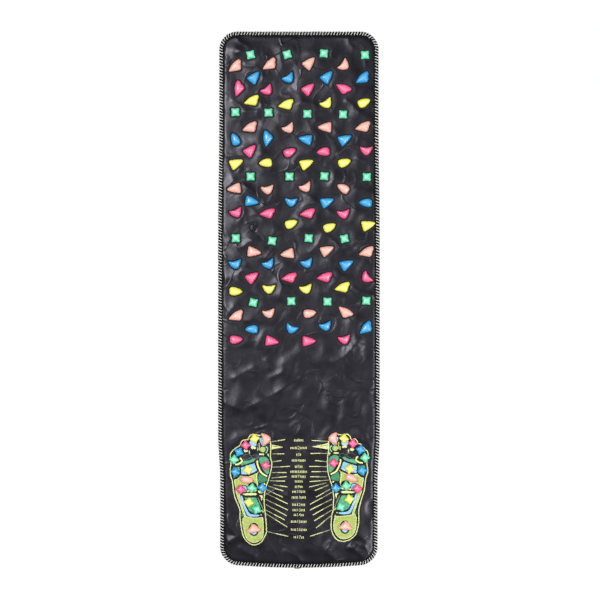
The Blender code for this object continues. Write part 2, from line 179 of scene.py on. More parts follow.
def anticlockwise(loop):
    return loop if signedArea(loop) > 0 else loop[::-1]


def circle(x, y, radius, count):
    turns = [2 * math.pi * k / count for k in range(count)]
    return [(x + radius * math.cos(a), y + radius * math.sin(a)) for a in turns]


def covers(loop, x, y):
    # which of the places lie inside the loop
    turns = np.zeros(len(x), int)
    for (x0, y0), (x1, y1) in zip(loop, loop[1:] + loop[:1]):
        side = (x1 - x0) * (y - y0) - (y1 - y0) * (x - x0)
        turns += (y0 <= y) & (y < y1) & (side > 0)
        turns -= (y1 <= y) & (y < y0) & (side < 0)
    return turns != 0


# The stones' outlines in millimetres, seen from above, before their tips are rounded

stoneOutlines = {
    "star": [(9.6, 7.6), (7.6, 9.6), (0, 8.3), (-7.6, 9.6), (-9.6, 7.6), (-8.3, 0),
             (-9.6, -7.6), (-7.6, -9.6), (0, -8.3), (7.6, -9.6), (9.6, -7.6), (8.3, 0)],
    "gem": [(9.1, 6.8), (6.8, 9.1), (0, 7.6), (-6.8, 9.1), (-9.1, 6.8), (-7.6, 0),
            (-9.1, -6.8), (-6.8, -9.1), (0, -7.6), (6.8, -9.1), (9.1, -6.8), (7.6, 0)],
    "fin": [(6.6, 16.4), (-0.5, 12.7), (-9.2, 5.0), (-17.0, -10.2), (-16.0, -12.8),
            (-1.4, -10.9), (9.3, -8.8), (11.2, -2.0), (9.8, 4.0), (10.5, 11.8)],
    "fan": [(18.2, 2.0), (7.4, 7.6), (-8.6, 12.2), (-11.4, 10.0), (-12.0, 0.0),
            (-11.4, -10.0), (-8.6, -12.2), (7.4, -7.6), (18.2, -2.0)],
    "moon": [(2.6, 17.3), (-0.4, 11.6), (-4.5, 4.2), (-10.6, -2.6), (-15.0, -4.8),
             (-13.2, -8.6), (-3.3, -11.0), (7.4, -9.4), (11.0, -3.2), (9.2, 5.6)],
    "toe": [(2.4, 17.5), (-1.5, 12.6), (-5.7, 5.0), (-11.6, -1.6), (-15.0, -4.2),
            (-13.2, -8.6), (-3.3, -11.0), (7.4, -9.4), (11.0, -3.2), (9.2, 5.6)],
    "drop": [(15.2, 8.2), (8.4, 11.2), (-4.6, 9.8), (-13.0, 5.8), (-14.0, 0.2),
             (-9.6, -9.0), (-4.4, -10.6), (3.0, -8.2), (11.2, -0.6)],
    "oval": [(15.2, -2.0), (9.6, 5.0), (-2.0, 8.6), (-11.2, 7.4), (-15.2, 0.4),
             (-12.0, -6.6), (0.0, -9.0), (10.6, -7.0)],
    "boat": [(15.8, -2.2), (10.6, 3.7), (4.9, 10.3), (-2.7, 13.2), (-4.7, 9.0), (-10.7, 3.1),
             (-16.6, -2.0), (-15.7, -5.4), (-6.5, -8.4), (9.3, -7.4), (13.9, -5.6)],
}

# Each row's colour and its stones from left to right: outline, turn in degrees, place across the mat
# and offset along it from the row's line, both in millimetres
fieldRows = [
    ("green", [("star", 12, -108, -1), ("star", 16, -26, 0), ("star", -5, 56, 2), ("star", 3, 148, -1)]),
    ("salmon", [("fin", 0, -140, 2), ("fin", -3, -63, 6), ("fan", 47, 22, 7), ("moon", 0, 101, 4)]),
    ("blue", [("fan", 50, -101, 3), ("moon", -20, -23, 3), ("fan", 48, 62, 4), ("fin", -4, 145, 3)]),
    ("pink", [("fin", 35, -134, 9), ("moon", -17, -71, 4), ("fan", 43, 20, 5), ("fin", -65, 101, 6)]),
    ("yellow", [
        ("fin", -18, -103, 8), ("fin", -23, -26, -1), ("moon", -20, 62, 2), ("drop", 0, 145, 2)]),
    ("green", [("star", 2, -142, 10), ("star", 3, -68, 9), ("star", 0, 19, 6), ("star", -2, 99, 5)]),
    ("salmon", [
        ("fin", -16, -107, 4), ("moon", -22, -23, 2), ("fan", 180, 61, 4), ("fin", -21, 146, 5)]),
    ("blue", [("drop", 88, -141, 4), ("fin", 44, -70, 8), ("fan", 169, 17, 4), ("fan", 28, 101, 4)]),
    ("pink", [("fan", 46, -110, 6), ("drop", 1, -21, 2), ("drop", 162, 56, 6), ("moon", -52, 151, 8)]),
    ("yellow", [("fan", 25, -142, 6), ("drop", 160, -73, 9), ("fan", 24, 15, 5), ("drop", -5, 101, 7)]),
    ("green", [("star", 1, -108, 5), ("star", -1, -21, 5), ("star", -5, 57, 6), ("star", 0, 152, 4)]),
    ("salmon", [
        ("fan", 188, -142, 6), ("moon", -41, -70, 4), ("moon", -27, 15, 9), ("drop", 124, 101, 7)]),
    ("blue", [("fan", -9, -108, 5), ("moon", -53, -17, 4), ("fan", 22, 61, 3), ("drop", 152, 151, 3)]),
    ("pink", [("moon", -31, -140, 8), ("fin", -29, -68, 6), ("fin", -27, 22, 6), ("moon", -43, 100, 5)]),
    ("yellow", [("drop", -2, -18, 9), ("drop", 0, 68, 1), ("fan", 16, 153, 7)]),
    ("green", [("star", 0, -141, 6), ("star", -8, -60, 0), ("star", -4, 22, 6), ("star", 12, 102, 5)]),
    ("salmon", [("fan", -7, -103, 3), ("fan", 189, -23, -1), ("fan", 25, 61, 6), ("fin", -19, 154, 3)]),
    ("blue", [("moon", -40, -142, 4), ("moon", -28, -68, 4), ("moon", -34, 18, 6), ("fan", 28, 105, 2)]),
    ("pink", [("fan", 37, -106, 1), ("fin", -27, -19, 1), ("fin", -28, 60, 2), ("moon", -105, 152, 1)]),
    ("yellow", [
        ("drop", -28, -143, -3), ("moon", -52, -67, 4), ("moon", -37, 16, 4), ("fin", -22, 100, 7)]),
    ("green", [("star", -13, -102, 1), ("star", 2, -17, 4), ("star", 0, 64, 3), ("star", -3, 151, 5)]),
    ("salmon", [
        ("fin", -14, -138, -1), ("moon", -39, -67, 5), ("drop", -15, 23, 3), ("fin", -76, 105, 6)]),
    ("blue", [
        ("drop", 155, -104, -2), ("moon", -74, -16, -2), ("moon", -34, 60, 4), ("fin", 4, 152, 0)]),
    ("pink", [("drop", -22, -142, 0), ("fan", -9, -63, -2), ("fan", 1, 20, -2), ("moon", -40, 102, 2)]),
]

# The chart's stones: node, colour, outline and each stone's turn and place from the chart's line
chartStones = [
    ("left_second_toe_and_ball_stones", "yellow", "gem", [(55, -99, -11), (62, -114, -81)]),
    ("left_middle_toe_stone", "pink", "gem", [(50, -119, -26)]),
    ("left_outer_toe_and_ball_stones", "blue", "gem", [(18, -134, -41), (33, -142, -86)]),
    ("left_little_toe_stone", "green", "gem", [(40, -145, -58)]),
    ("left_inner_ball_stone", "pink", "gem", [(42, -74, -71)]),
    ("left_sole_stone", "salmon", "oval", [(0, -116, -103)]),
    ("left_outer_arch_stone", "pink", "gem", [(45, -130, -125)]),
    ("left_arch_and_waist_stones", "green", "gem", [(38, -105, -122), (20, -94, -170)]),
    ("left_inner_arch_stone", "blue", "gem", [(42, -82, -121)]),
    ("left_waist_stone", "yellow", "gem", [(36, -112, -154)]),
    ("right_second_toe_and_ball_stones", "yellow", "gem", [(38, 101, -11), (30, 114, -79)]),
    ("right_middle_toe_stone", "pink", "gem", [(40, 121, -22)]),
    ("right_outer_toe_and_ball_stones", "blue", "gem", [(30, 138, -36), (55, 142, -83)]),
    ("right_little_toe_stone", "green", "gem", [(50, 148, -54)]),
    ("right_inner_ball_stone", "pink", "gem", [(48, 78, -66)]),
    ("right_sole_stone", "salmon", "oval", [(-12, 118, -99)]),
    ("right_outer_arch_stone", "pink", "gem", [(45, 131, -123)]),
    ("right_arch_and_waist_stones", "green", "gem", [(52, 106, -117), (70, 94, -164)]),
    ("right_inner_arch_stone", "blue", "gem", [(48, 83, -122)]),
    ("right_waist_stone", "yellow", "gem", [(54, 113, -147)]),
    ("big_toe_stones", "salmon", "toe", [(42, -74, -12), (-142, 77, -11)]),
    ("heel_stones", "salmon", "boat", [(10, -101, -214), (-4, 105, -208)]),
]

layout = {
    "firstRow": mm(550.3),
    "rowPitch": mm(27.8),
    "chartLine": mm(-298.3),
}


def stoneGroups():
    # node, body, colour and stones as (outline, turn, x, y)
    for number, (colour, stones) in enumerate(fieldRows):
        line = layout["firstRow"] - number * layout["rowPitch"]
        placed = [(kind, turn, mm(x), line + mm(off)) for kind, turn, x, off in stones]
        yield f"stone_row_{number + 1:02d}_{colour}", "field", colour, placed
    for node, colour, kind, spots in chartStones:
        placed = [(kind, turn, mm(x), layout["chartLine"] + mm(y)) for turn, x, y in spots]
        yield node, "chart_end", colour, placed


def turnedOutline(points, turn, x, y):
    spin = math.radians(turn)
    return [(x + a * math.cos(spin) - b * math.sin(spin), y + a * math.sin(spin) + b * math.cos(spin))
            for a, b in points]


groups = list(stoneGroups())
allStones = [stone for _, _, _, stones in groups for stone in stones]
stonePlaces = [(x, y) for _, _, x, y in allStones]
stoneLoops = [turnedOutline([(mm(a), mm(b)) for a, b in stoneOutlines[kind]], turn, x, y)
              for kind, turn, x, y in allStones]


def newObject(name, data, materials=()):
    for material in materials:
        data.materials.append(material)
    obj = bpy.data.objects.new(name, data)
    bpy.context.scene.collection.objects.link(obj)
    return obj


def evaluatedMesh(obj):
    # what the object's modifiers make of it, as a plain mesh
    graph = bpy.context.evaluated_depsgraph_get()
    return bpy.data.meshes.new_from_object(obj.evaluated_get(graph))


# Materials

def linear(hexColour):
    channels = [int(hexColour[i:i + 2], 16) / 255 for i in (1, 3, 5)]
    return [c / 12.92 if c <= 0.04045 else ((c + 0.055) / 1.055) ** 2.4 for c in channels] + [1.0]


def addNode(tree, kind, settings=None, links=None):
    made = tree.nodes.new(kind)
    for name, value in (settings or {}).items():
        if isinstance(name, int) or name[0].isupper():
            made.inputs[name].default_value = value
        else:
            setattr(made, name, value)
    for name, socket in (links or {}).items():
        tree.links.new(socket, made.inputs[name])
    return made


def newMaterial(name):
    material = bpy.data.materials.new(name)
    material.use_nodes = True
    tree = material.node_tree
    tree.nodes.clear()
    return material, tree, addNode(tree, "ShaderNodeTexCoord").outputs["Object"]


def addSurface(tree, settings, links):
    shader = addNode(tree, "ShaderNodeBsdfPrincipled", settings, links)
    addNode(tree, "ShaderNodeOutputMaterial", links={"Surface": shader.outputs["BSDF"]})


def mixedColours(tree, factor, low, high, fromValue=0.35, toValue=0.65):
    # low colour where the factor is under fromValue, high colour over toValue
    ramp = addNode(tree, "ShaderNodeValToRGB", links={"Fac": factor})
    for element, position, colour in zip(ramp.color_ramp.elements, (fromValue, toValue), (low, high)):
        element.position = position
        element.color = linear(colour)
    return ramp.outputs["Color"]


def leatherCreases(tree, place):
    # sharp creases some 5 mm wide, in patches, where the cover has been folded and flattened again:
    # they run where a broad noise passes its middle value
    sway = addNode(tree, "ShaderNodeTexNoise", {"Scale": 1 / leather["creaseSize"], "Detail": 1.0,
                   "Distortion": 0.6}, {"Vector": place})
    offset = addNode(tree, "ShaderNodeMath", {"operation": "SUBTRACT", 1: 0.5}, {0: sway.outputs["Fac"]})
    away = addNode(tree, "ShaderNodeMath", {"operation": "ABSOLUTE"}, {0: offset.outputs[0]})
    crest = addNode(tree, "ShaderNodeMapRange", {"interpolation_type": "SMOOTHSTEP", "From Max": 0.05,
                    "To Min": 1.0, "To Max": 0.0}, {"Value": away.outputs[0]})
    patches = addNode(tree, "ShaderNodeTexNoise", {"Scale": 1 / leather["patchSize"], "Detail": 0.0},
                      {"Vector": place})
    share = addNode(tree, "ShaderNodeMapRange", {"From Min": 0.46, "From Max": 0.6},
                    {"Value": patches.outputs["Fac"]})
    height = addNode(tree, "ShaderNodeMath", {"operation": "MULTIPLY"},
                     {0: crest.outputs["Result"], 1: share.outputs["Result"]})
    return addNode(tree, "ShaderNodeBump", {"Strength": 1.0, "Distance": leather["creaseHeight"]},
                   {"Height": height.outputs[0]}).outputs["Normal"]


def leatherGrain(tree, place):
    # pebbles as pressed into PU leather, on a softly uneven and creased skin; real pebbles are half
    # this size, too fine to show
    pebbles = addNode(tree, "ShaderNodeTexVoronoi", {"feature": "SMOOTH_F1", "Smoothness": 0.6,
                      "Scale": 1 / leather["pebbleSize"]}, {"Vector": place})
    soft = addNode(tree, "ShaderNodeTexNoise", {"Scale": 1 / mm(9), "Detail": 3.0}, {"Vector": place})
    deep = addNode(tree, "ShaderNodeBump", {"Strength": 0.5, "Distance": mm(0.5)},
                   {"Height": soft.outputs["Fac"], "Normal": leatherCreases(tree, place)})
    fine = addNode(tree, "ShaderNodeBump", {"Strength": 0.35, "Distance": mm(0.12), "invert": True},
                   {"Height": pebbles.outputs["Distance"], "Normal": deep.outputs["Normal"]})
    return fine.outputs["Normal"]


def puLeather():
    # black PU leather, cast on cloth and embossed: soft sheen that changes where it has been rubbed,
    # dull where it is drawn in round each stone, with painted shade there for its contact shadow
    material, tree, place = newMaterial("blackPuLeather")
    cloud = addNode(tree, "ShaderNodeTexNoise", {"Scale": 1 / mm(70), "Detail": 4.0}, {"Vector": place})
    colour = mixedColours(tree, cloud.outputs["Fac"], leather["darkColour"], leather["lightColour"])
    dullAndPaintedShade = addNode(tree, "ShaderNodeAttribute", {"attribute_name": "dullAndPaintedShade"}).outputs["Fac"]
    rub = addNode(tree, "ShaderNodeTexNoise", {"Scale": 1 / mm(24), "Detail": 5.0}, {"Vector": place})
    rough = addNode(tree, "ShaderNodeMapRange", {"From Min": 0.3, "From Max": 0.7,
                    "To Min": leather["smooth"], "To Max": leather["rough"]},
                    {"Value": rub.outputs["Fac"]})
    dull = addNode(tree, "ShaderNodeMath", {"operation": "MULTIPLY_ADD", 1: leather["dulling"]},
                   {0: dullAndPaintedShade, 2: rough.outputs["Result"]})
    # painted shade: the colour goes near-black round each stone, where its contact shadow falls
    shaded = addNode(tree, "ShaderNodeMix", {"data_type": "RGBA", 7: linear(leather["paintedShadeColour"])},
                     {0: dullAndPaintedShade, 6: colour})
    addSurface(tree, {"Specular Tint": linear(leather["sheenTint"])}, {
        "Base Color": shaded.outputs[2], "Roughness": dull.outputs[0],
        "Normal": leatherGrain(tree, place)})
    return material


def screenInk(name, low, high):
    # screen-printed ink on the leather: opaque, a little speckled, and it keeps the leather's grain
    material, tree, place = newMaterial(name)
    speckle = addNode(tree, "ShaderNodeTexNoise", {"Scale": 1 / mm(4), "Detail": 4.0}, {"Vector": place})
    colour = mixedColours(tree, speckle.outputs["Fac"], low, high)
    addSurface(tree, {"Roughness": 0.5}, {"Base Color": colour, "Normal": leatherGrain(tree, place)})
    return material


def knitReverse():
    # the brushed knit that PU leather is cast on: matt, soft, fine wales
    material, tree, place = newMaterial("knitReverse")
    wales = addNode(tree, "ShaderNodeTexWave", {"Scale": 1 / mm(9), "Distortion": 1.0},
                    {"Vector": place})
    bump = addNode(tree, "ShaderNodeBump", {"Strength": 0.3, "Distance": mm(0.2)},
                   {"Height": wales.outputs["Fac"]})
    addSurface(tree, {"Base Color": linear("#2c2c2f"), "Roughness": 0.95},
               {"Normal": bump.outputs["Normal"]})
    return material


def mouldedPlastic(name, body, crown, dark):
    # injection-moulded polypropylene with a satin surface: paler towards the crown as a painted highlight,
    # and a little light goes through it
    material, tree, place = newMaterial(name)
    share = addNode(tree, "ShaderNodeAttribute", {"attribute_name": "edgeShare"})
    mottle = addNode(tree, "ShaderNodeTexNoise", {"Scale": 1 / mm(6), "Detail": 3.0}, {"Vector": place})
    base = mixedColours(tree, mottle.outputs["Fac"], dark, body, 0.3, 0.6)
    # painted highlight: the colour turns towards the paler crown tone up the stone
    paintedHighlightShare = addNode(tree, "ShaderNodeMapRange", {"From Min": 0.9, "From Max": 0.2, "To Max": 0.7},
                     {"Value": share.outputs["Fac"]})
    colour = addNode(tree, "ShaderNodeMix", {"data_type": "RGBA", 7: linear(crown)},
                     {0: paintedHighlightShare.outputs["Result"], 6: base})
    skin = addNode(tree, "ShaderNodeTexNoise", {"Scale": 1 / mm(1.5), "Detail": 2.0}, {"Vector": place})
    bump = addNode(tree, "ShaderNodeBump", {"Strength": 0.12, "Distance": mm(0.1)},
                   {"Height": skin.outputs["Fac"]})
    addSurface(tree, {"Roughness": 0.3, "Subsurface Weight": 0.2, "Subsurface Radius": (1, 1, 1),
                      "Subsurface Scale": mm(1.5)},
               {"Base Color": colour.outputs[2], "Normal": bump.outputs["Normal"]})
    return material


def spunThread(name, low, high):
    # spun polyester thread: matt, with the diagonal lay of its plies and painted shade in the grooves
    # between them; UV runs along the thread
    material, tree, _ = newMaterial(name)
    along = addNode(tree, "ShaderNodeUVMap", {"uv_map": "UVMap"}).outputs["UV"]
    lay = addNode(tree, "ShaderNodeTexWave", {"bands_direction": "DIAGONAL", "Scale": 1.6,
                  "Distortion": 0.6}, {"Vector": along})
    # painted shade: darker in the grooves between the plies, where the bump is low
    colour = mixedColours(tree, lay.outputs["Fac"], low, high, 0.1, 0.8)
    bump = addNode(tree, "ShaderNodeBump", {"Strength": 0.5, "Distance": mm(0.15)},
                   {"Height": lay.outputs["Fac"]})
    addSurface(tree, {"Roughness": 0.85, "Specular IOR Level": 0.25},
               {"Base Color": colour, "Normal": bump.outputs["Normal"]})
    return material


def backingCloth():
    # point-bonded non-woven cloth: matt fibres with small pressed dimples in rows, 2.4 mm apart
    material, tree, place = newMaterial("nonWovenBacking")
    dimples = addNode(tree, "ShaderNodeTexVoronoi", {"Scale": 1 / mm(2.4), "Randomness": 0.15},
                      {"Vector": place})
    fibres = addNode(tree, "ShaderNodeTexNoise", {"Scale": 1 / mm(1.2), "Detail": 5.0},
                     {"Vector": place})
    colour = mixedColours(tree, fibres.outputs["Fac"], "#2f2f32", "#434347")
    coarse = addNode(tree, "ShaderNodeBump", {"Strength": 0.5, "Distance": mm(0.3)},
                     {"Height": dimples.outputs["Distance"]})
    fine = addNode(tree, "ShaderNodeBump", {"Strength": 0.4, "Distance": mm(0.15)},
                   {"Height": fibres.outputs["Fac"], "Normal": coarse.outputs["Normal"]})
    addSurface(tree, {"Roughness": 0.92}, {"Base Color": colour, "Normal": fine.outputs["Normal"]})
    return material


def foamSheet():
    # dark grey polyethylene foam sheet: small closed cells cut open on the surface, with painted shade
    # in their pits
    material, tree, place = newMaterial("greyFoam")
    cells = addNode(tree, "ShaderNodeTexVoronoi", {"Scale": 1 / mm(1.4)}, {"Vector": place})
    bump = addNode(tree, "ShaderNodeBump", {"Strength": 0.6, "Distance": mm(0.3)},
                   {"Height": cells.outputs["Distance"]})
    # painted shade: darker where the bump makes the cut cells' pits
    colour = mixedColours(tree, cells.outputs["Distance"], "#2c2c2f", "#454548", 0.1, 0.7)
    addSurface(tree, {"Roughness": 0.95}, {"Base Color": colour, "Normal": bump.outputs["Normal"]})
    return material


leather = {
    "darkColour": "#111015",
    "lightColour": "#1a191f",
    "paintedShadeColour": "#020203",  # painted shade round each stone, where its contact shadow falls
    "smooth": 0.34,  # roughness where it is rubbed
    "rough": 0.43,
    "dulling": 0.45,  # what is added to the roughness where it is drawn in
    "sheenTint": "#f3f0ff",
    "pebbleSize": mm(1.6),
    "creaseSize": mm(60),
    "creaseHeight": mm(0.55),
    "patchSize": mm(80),  # of the creased patches
}

inkColours = {  # darker and lighter tone of each ink
    "pale": ("#ced788", "#e4e9aa"),
    "lime": ("#99b04c", "#bcc876"),
    "sky": ("#78b4e6", "#a9d6f5"),
    "green": ("#37946c", "#60b68d"),
    "deepGreen": ("#2a7352", "#45946c"),
    "yellow": ("#e8e87c", "#f6f6a4"),
    "mint": ("#7fd0a0", "#a8e6bd"),
    "dim": ("#8b9168", "#b0b686"),
    "faint": ("#4c5652", "#69716c"),
}

stoneColours = {  # body, painted highlight towards the crown, and mottled tone of each plastic
    "green": ("#62deab", "#b4f2d8", "#54d09c"),
    "salmon": ("#f4b2a2", "#fbd2c8", "#eda593"),
    "blue": ("#2a9cda", "#72c3ec", "#238ecb"),
    "pink": ("#ef5389", "#f894b4", "#e5467d"),
    "yellow": ("#f7f15c", "#fcf9a8", "#f1e94e"),
}

leatherMaterial = puLeather()
inkMaterials = {name: screenInk(name + "ScreenInk", *tones) for name, tones in inkColours.items()}
knitMaterial = knitReverse()
stoneMaterials = {name: mouldedPlastic(name + "MouldedPlastic", *tones)
                  for name, tones in stoneColours.items()}
whiteThread = spunThread("offWhitePolyesterThread", "#e2e1dd", "#f9f8f5")
blackThread = spunThread("blackPolyesterThread", "#070708", "#0f0f11")
backingMaterial = backingCloth()
foamMaterial = foamSheet()
print("materials made")


# Crumples of the cover, as a cloth that is a little too large for the place where it is held down

crumple = {
    "gridStep": mm(5),
    "growth": 0.05,  # how much larger the slackest leather is than the space it lies in
    "slackSize": mm(75),  # size of the slack places and the taut ones
    "slackRange": (-0.25, 0.45),
    "frames": 24,
    "quality": 6,
    "mass": 0.4,
    "stiffness": 30,  # against stretching and pressing together
    "shear": 12,
    "bending": 12.0,
    "damping": 2.0,
    "pinReach": mm(0.5),  # the leather is held under each stone and this far round it
    "pinnedRim": mm(12),
    "stoneReach": mm(40),  # no stone acts further than this
    "startNoise": mm(0.8),
    "startSizes": (mm(26), mm(60)),
    "gain": 0.55,  # share of the simulated heights that is kept, within the two caps
    "capUp": mm(3.0),
    "capDown": mm(0.8),
    "wrinkle": mm(0.6),  # height of the small creases that noise adds, in patches
    "wrinkleSize": mm(34),
    "sharpness": 5,
    "sway": mm(16),  # how far the creases stray, over swaySize
    "swaySize": mm(50),
    "patchSize": mm(90),
    "patchRange": (-0.1, 0.35),
    "bulge": mm(3.4),  # and of the soft bulges
    "bulgeSize": mm(50),
    "bulgeRange": (-0.3, 0.6),
    "rimEase": mm(38),  # crumples rise from nothing over this width from the rim
    "foldEase": mm(6),  # and folds over this one
    "heldShare": 0.7,  # both have this share of their height next to a stone
    "stoneClear": (mm(1), mm(16)),  # and all of it over these distances from its outline
    "lieNear": mm(0.8),  # the mat's long waves, low where its two ends face each other when folded
    "lieFar": mm(3.6),
    "lieFarPlaces": (mm(150), mm(260)),  # they get higher over these places along the mat
    "lieEase": (mm(9), mm(56)),  # and over these distances from the edge
    "lieSize": mm(70),
    "lieRange": (-0.5, 0.5),
    "dimple": mm(0.3),  # each stone pulls the cover down by this
    "dimpleReach": (mm(0.5), mm(9)),  # over these distances from its outline
}

# Folds that the leather keeps, listed: a path in millimetres, its half width and its height
keptFolds = [
    ([(-171, -228), (-124, -246), (-60, -212), (3, -175)], 9, 1.8),
    ([(117, -553), (134, -564), (153, -580)], 8, 3.2),
    ([(127, -550), (146, -550), (153, -562), (158, -574)], 6, 2.8),
    ([(73, -543), (64, -559), (86, -585)], 11, 3.6),
    ([(-162, -486), (-153, -508), (-136, -528), (-155, -539)], 10, 3.4),
    ([(-130, -554), (-115, -565), (-102, -570)], 9, 2.8),
    ([(-140, 590), (-133, 580), (-118, 572)], 5, 1.4),
    ([(-160, 565), (-146, 556), (-130, 560)], 9, 1.4),
    ([(110, 588), (112, 575), (121, 566)], 5, 1.5),
    ([(148, 547), (151, 520), (148, 491)], 6, 1.4),
    ([(-127, 527), (-98, 525), (-84, 510), (-81, 493)], 5, 1.5),
    ([(-167, 423), (-84, 423)], 4, 1.0),
    ([(-167, 325), (-120, 325)], 5, 1.4),
    ([(-127, 310), (-135, 290)], 4, 1.6),
    ([(-123, 259), (-78, 219)], 4, 1.4),
    ([(-10, 305), (14, 287), (31, 267)], 4, 1.4),
    ([(107, 446), (117, 439), (136, 422)], 6, 1.6),
    ([(-172, 101), (-150, 88)], 4, 1.2),
    ([(40, 400), (75, 385), (90, 368)], 7, 1.2),
    ([(60, 150), (90, 120), (120, 118)], 6, 1.2),
    ([(-60, 60), (-38, 30), (-44, 5)], 6, 1.2),
    ([(120, 30), (148, 10), (168, 12)], 5, 1.3),
    ([(-165, -15), (-140, -40), (-110, -46)], 6, 1.3),
    ([(150, -300), (162, -340), (158, -372)], 6, 1.3),
    ([(-122, 206), (-124, 192), (-133, 180)], 5, 1.6),
    ([(-94, 138), (-114, 128), (-134, 118)], 8, 1.8),
    ([(-46, 156), (-60, 140), (-76, 128)], 9, 1.8),
    ([(54, 149), (41, 121), (28, 110)], 8, 2.0),
    ([(-61, 113), (-72, 95)], 6, 1.6),
    ([(-121, 74), (-146, 56), (-164, 48)], 13, 2.4),
    ([(62, 92), (76, 84)], 13, 1.8),
    ([(-32, 78), (-22, 66)], 13, 1.8),
    ([(-146, -15), (-164, -34)], 8, 1.8),
    ([(134, -92), (98, -128), (79, -138)], 11, 2.2),
    ([(-73, -135), (-66, -148)], 7, 1.8),
    ([(-104, -150), (-144, -172)], 8, 1.8),
    ([(-40, -161), (-62, -172)], 7, 1.5),
    ([(-172, 548), (-168, 500)], 8, 1.6),
    ([(-140, 555), (-112, 560), (-95, 540)], 10, 1.6),
    ([(-94, 452), (-80, 430), (-74, 418)], 8, 1.6),
    ([(18, 235), (44, 218), (72, 196), (96, 182)], 9, 2.0),
    ([(-118, 215), (-96, 196), (-80, 180)], 6, 1.6),
    ([(118, 350), (140, 340), (160, 345)], 9, 1.4),
    ([(-150, 268), (-128, 256)], 9, 1.8),
    ([(160, 300), (166, 262)], 6, 1.4),
    ([(60, 300), (76, 282)], 9, 1.4),
    ([(96, 590), (130, 580), (146, 586)], 8, 1.6),
    ([(-30, -560), (-4, -572), (8, -590)], 7, 1.6),
    ([(100, -520), (124, -516), (152, -540)], 8, 1.8),
    ([(-168, -440), (-160, -470)], 6, 1.6),
    ([(-20, 446), (50, 434), (112, 414), (172, 394)], 14, 2.0),
    ([(14, 292), (76, 268), (128, 248), (172, 236)], 14, 2.0),
    ([(-150, 352), (-112, 338), (-84, 326)], 12, 1.8),
]


noiseLayers = {  # the slice of the noise that each form takes
    "swell": 4.4, "startSmall": 3.7, "startLarge": 9.1, "slack": 5.3, "swayX": 21.0, "swayY": 33.0,
    "wrinkle": 2.2, "patches": 7.7, "bulge": 41.0, "lie": 12.5, "backing": 1.3,
}


def noiseAt(x, y, size, form):
    layer = noiseLayers[form]
    return np.array([noise.noise(Vector((a / size, b / size, layer))) for a, b in zip(x, y)])


def lineDistance(x, y, start, end):
    # to the straight line between two places
    (x0, y0), (x1, y1) = start, end
    along = ((x - x0) * (x1 - x0) + (y - y0) * (y1 - y0)) / ((x1 - x0) ** 2 + (y1 - y0) ** 2)
    along = np.clip(along, 0, 1)
    return np.hypot(x - x0 - along * (x1 - x0), y - y0 - along * (y1 - y0))


def foldHeights(x, y):
    total = np.zeros_like(x)
    for path, halfWidth, height in keptFolds:
        path = [(mm(a), mm(b)) for a, b in path]
        nearest = np.minimum.reduce([lineDistance(x, y, *ends) for ends in zip(path, path[1:])])
        total += mm(height) * np.exp(-(nearest / mm(halfWidth)) ** 1.5)
    return total


def stoneDistance(x, y):
    # to the nearest stone's outline, 0 under a stone
    nearest = np.full_like(x, 1.0)
    for (stoneX, stoneY), loop in zip(stonePlaces, stoneLoops):
        near = np.nonzero(np.hypot(x - stoneX, y - stoneY) < crumple["stoneReach"])[0]
        if len(near) == 0:
            continue
        nearX, nearY = x[near], y[near]
        sides = zip(loop, loop[1:] + loop[:1])
        away = np.minimum.reduce([lineDistance(nearX, nearY, *ends) for ends in sides])
        away[covers(loop, nearX, nearY)] = 0
        nearest[near] = np.minimum(nearest[near], away)
    return nearest


def crumpledCloth():
    # a coarse sheet over the whole mat, whose heights the fine meshes take
    step = crumple["gridStep"]
    columns = round(mat["width"] / step) + 1
    rows = round(mat["length"] / step) + 1
    xs = np.linspace(-mat["width"] / 2, mat["width"] / 2, columns)
    ys = np.linspace(-mat["length"] / 2, mat["length"] / 2, rows) + mat["middleY"]
    x, y = (a.ravel() for a in np.meshgrid(xs, ys))
    small, large = crumple["startSizes"]
    rough = noiseAt(x, y, small, "startSmall") + noiseAt(x, y, large, "startLarge")
    held = (edgeInset(x, y) < crumple["pinnedRim"]) | (stoneDistance(x, y) < crumple["pinReach"])
    z = np.where(held, 0, crumple["startNoise"] * rough)
    faces = [
        (r * columns + c, r * columns + c + 1, (r + 1) * columns + c + 1, (r + 1) * columns + c)
        for r in range(rows - 1) for c in range(columns - 1)
    ]
    mesh = bpy.data.meshes.new("crumpledCloth")
    mesh.from_pydata([tuple(map(float, p)) for p in zip(x, y, z)], [], faces)
    cloth = newObject("crumpledCloth", mesh)
    pins = cloth.vertex_groups.new(name="held")
    pins.add([int(k) for k in np.nonzero(held)[0]], 1.0, "REPLACE")
    slack = cloth.vertex_groups.new(name="slack")
    slackNoise = noiseAt(x, y, crumple["slackSize"], "slack")
    for k, share in enumerate(smoothStep(*crumple["slackRange"], slackNoise)):
        slack.add([k], float(share), "REPLACE")
    settings = cloth.modifiers.new("Crumpling", "CLOTH").settings
    settings.quality = crumple["quality"]
    settings.mass = crumple["mass"]
    settings.tension_stiffness = settings.compression_stiffness = crumple["stiffness"]
    settings.shear_stiffness = crumple["shear"]
    settings.bending_stiffness = crumple["bending"]
    settings.air_damping = crumple["damping"]
    settings.vertex_group_shrink = "slack"
    settings.shrink_max = -crumple["growth"]
    settings.vertex_group_mass = "held"
    settings.effector_weights.gravity = 0
    for number in range(1, crumple["frames"] + 1):
        bpy.context.scene.frame_set(number)
    done = evaluatedMesh(cloth)
    bpy.data.objects.remove(cloth)
    bpy.context.scene.frame_set(1)
    return done, faces


clothMesh, clothFaces = crumpledCloth()
crumpleTree = BVHTree.FromPolygons([v.co for v in clothMesh.vertices], clothFaces)
print("cover crumpled")


def crumpleHeights(x, y):
    heights = np.zeros_like(x)
    above, down = mm(100), Vector((0, 0, -1))
    for k, (a, b) in enumerate(zip(x, y)):
        hit = crumpleTree.ray_cast(Vector((a, b, above)), down)[0]
        heights[k] = hit.z if hit else 0
    heights = heights * crumple["gain"]
    most = np.where(heights > 0, crumple["capUp"], crumple["capDown"])
    return most * np.tanh(heights / most)


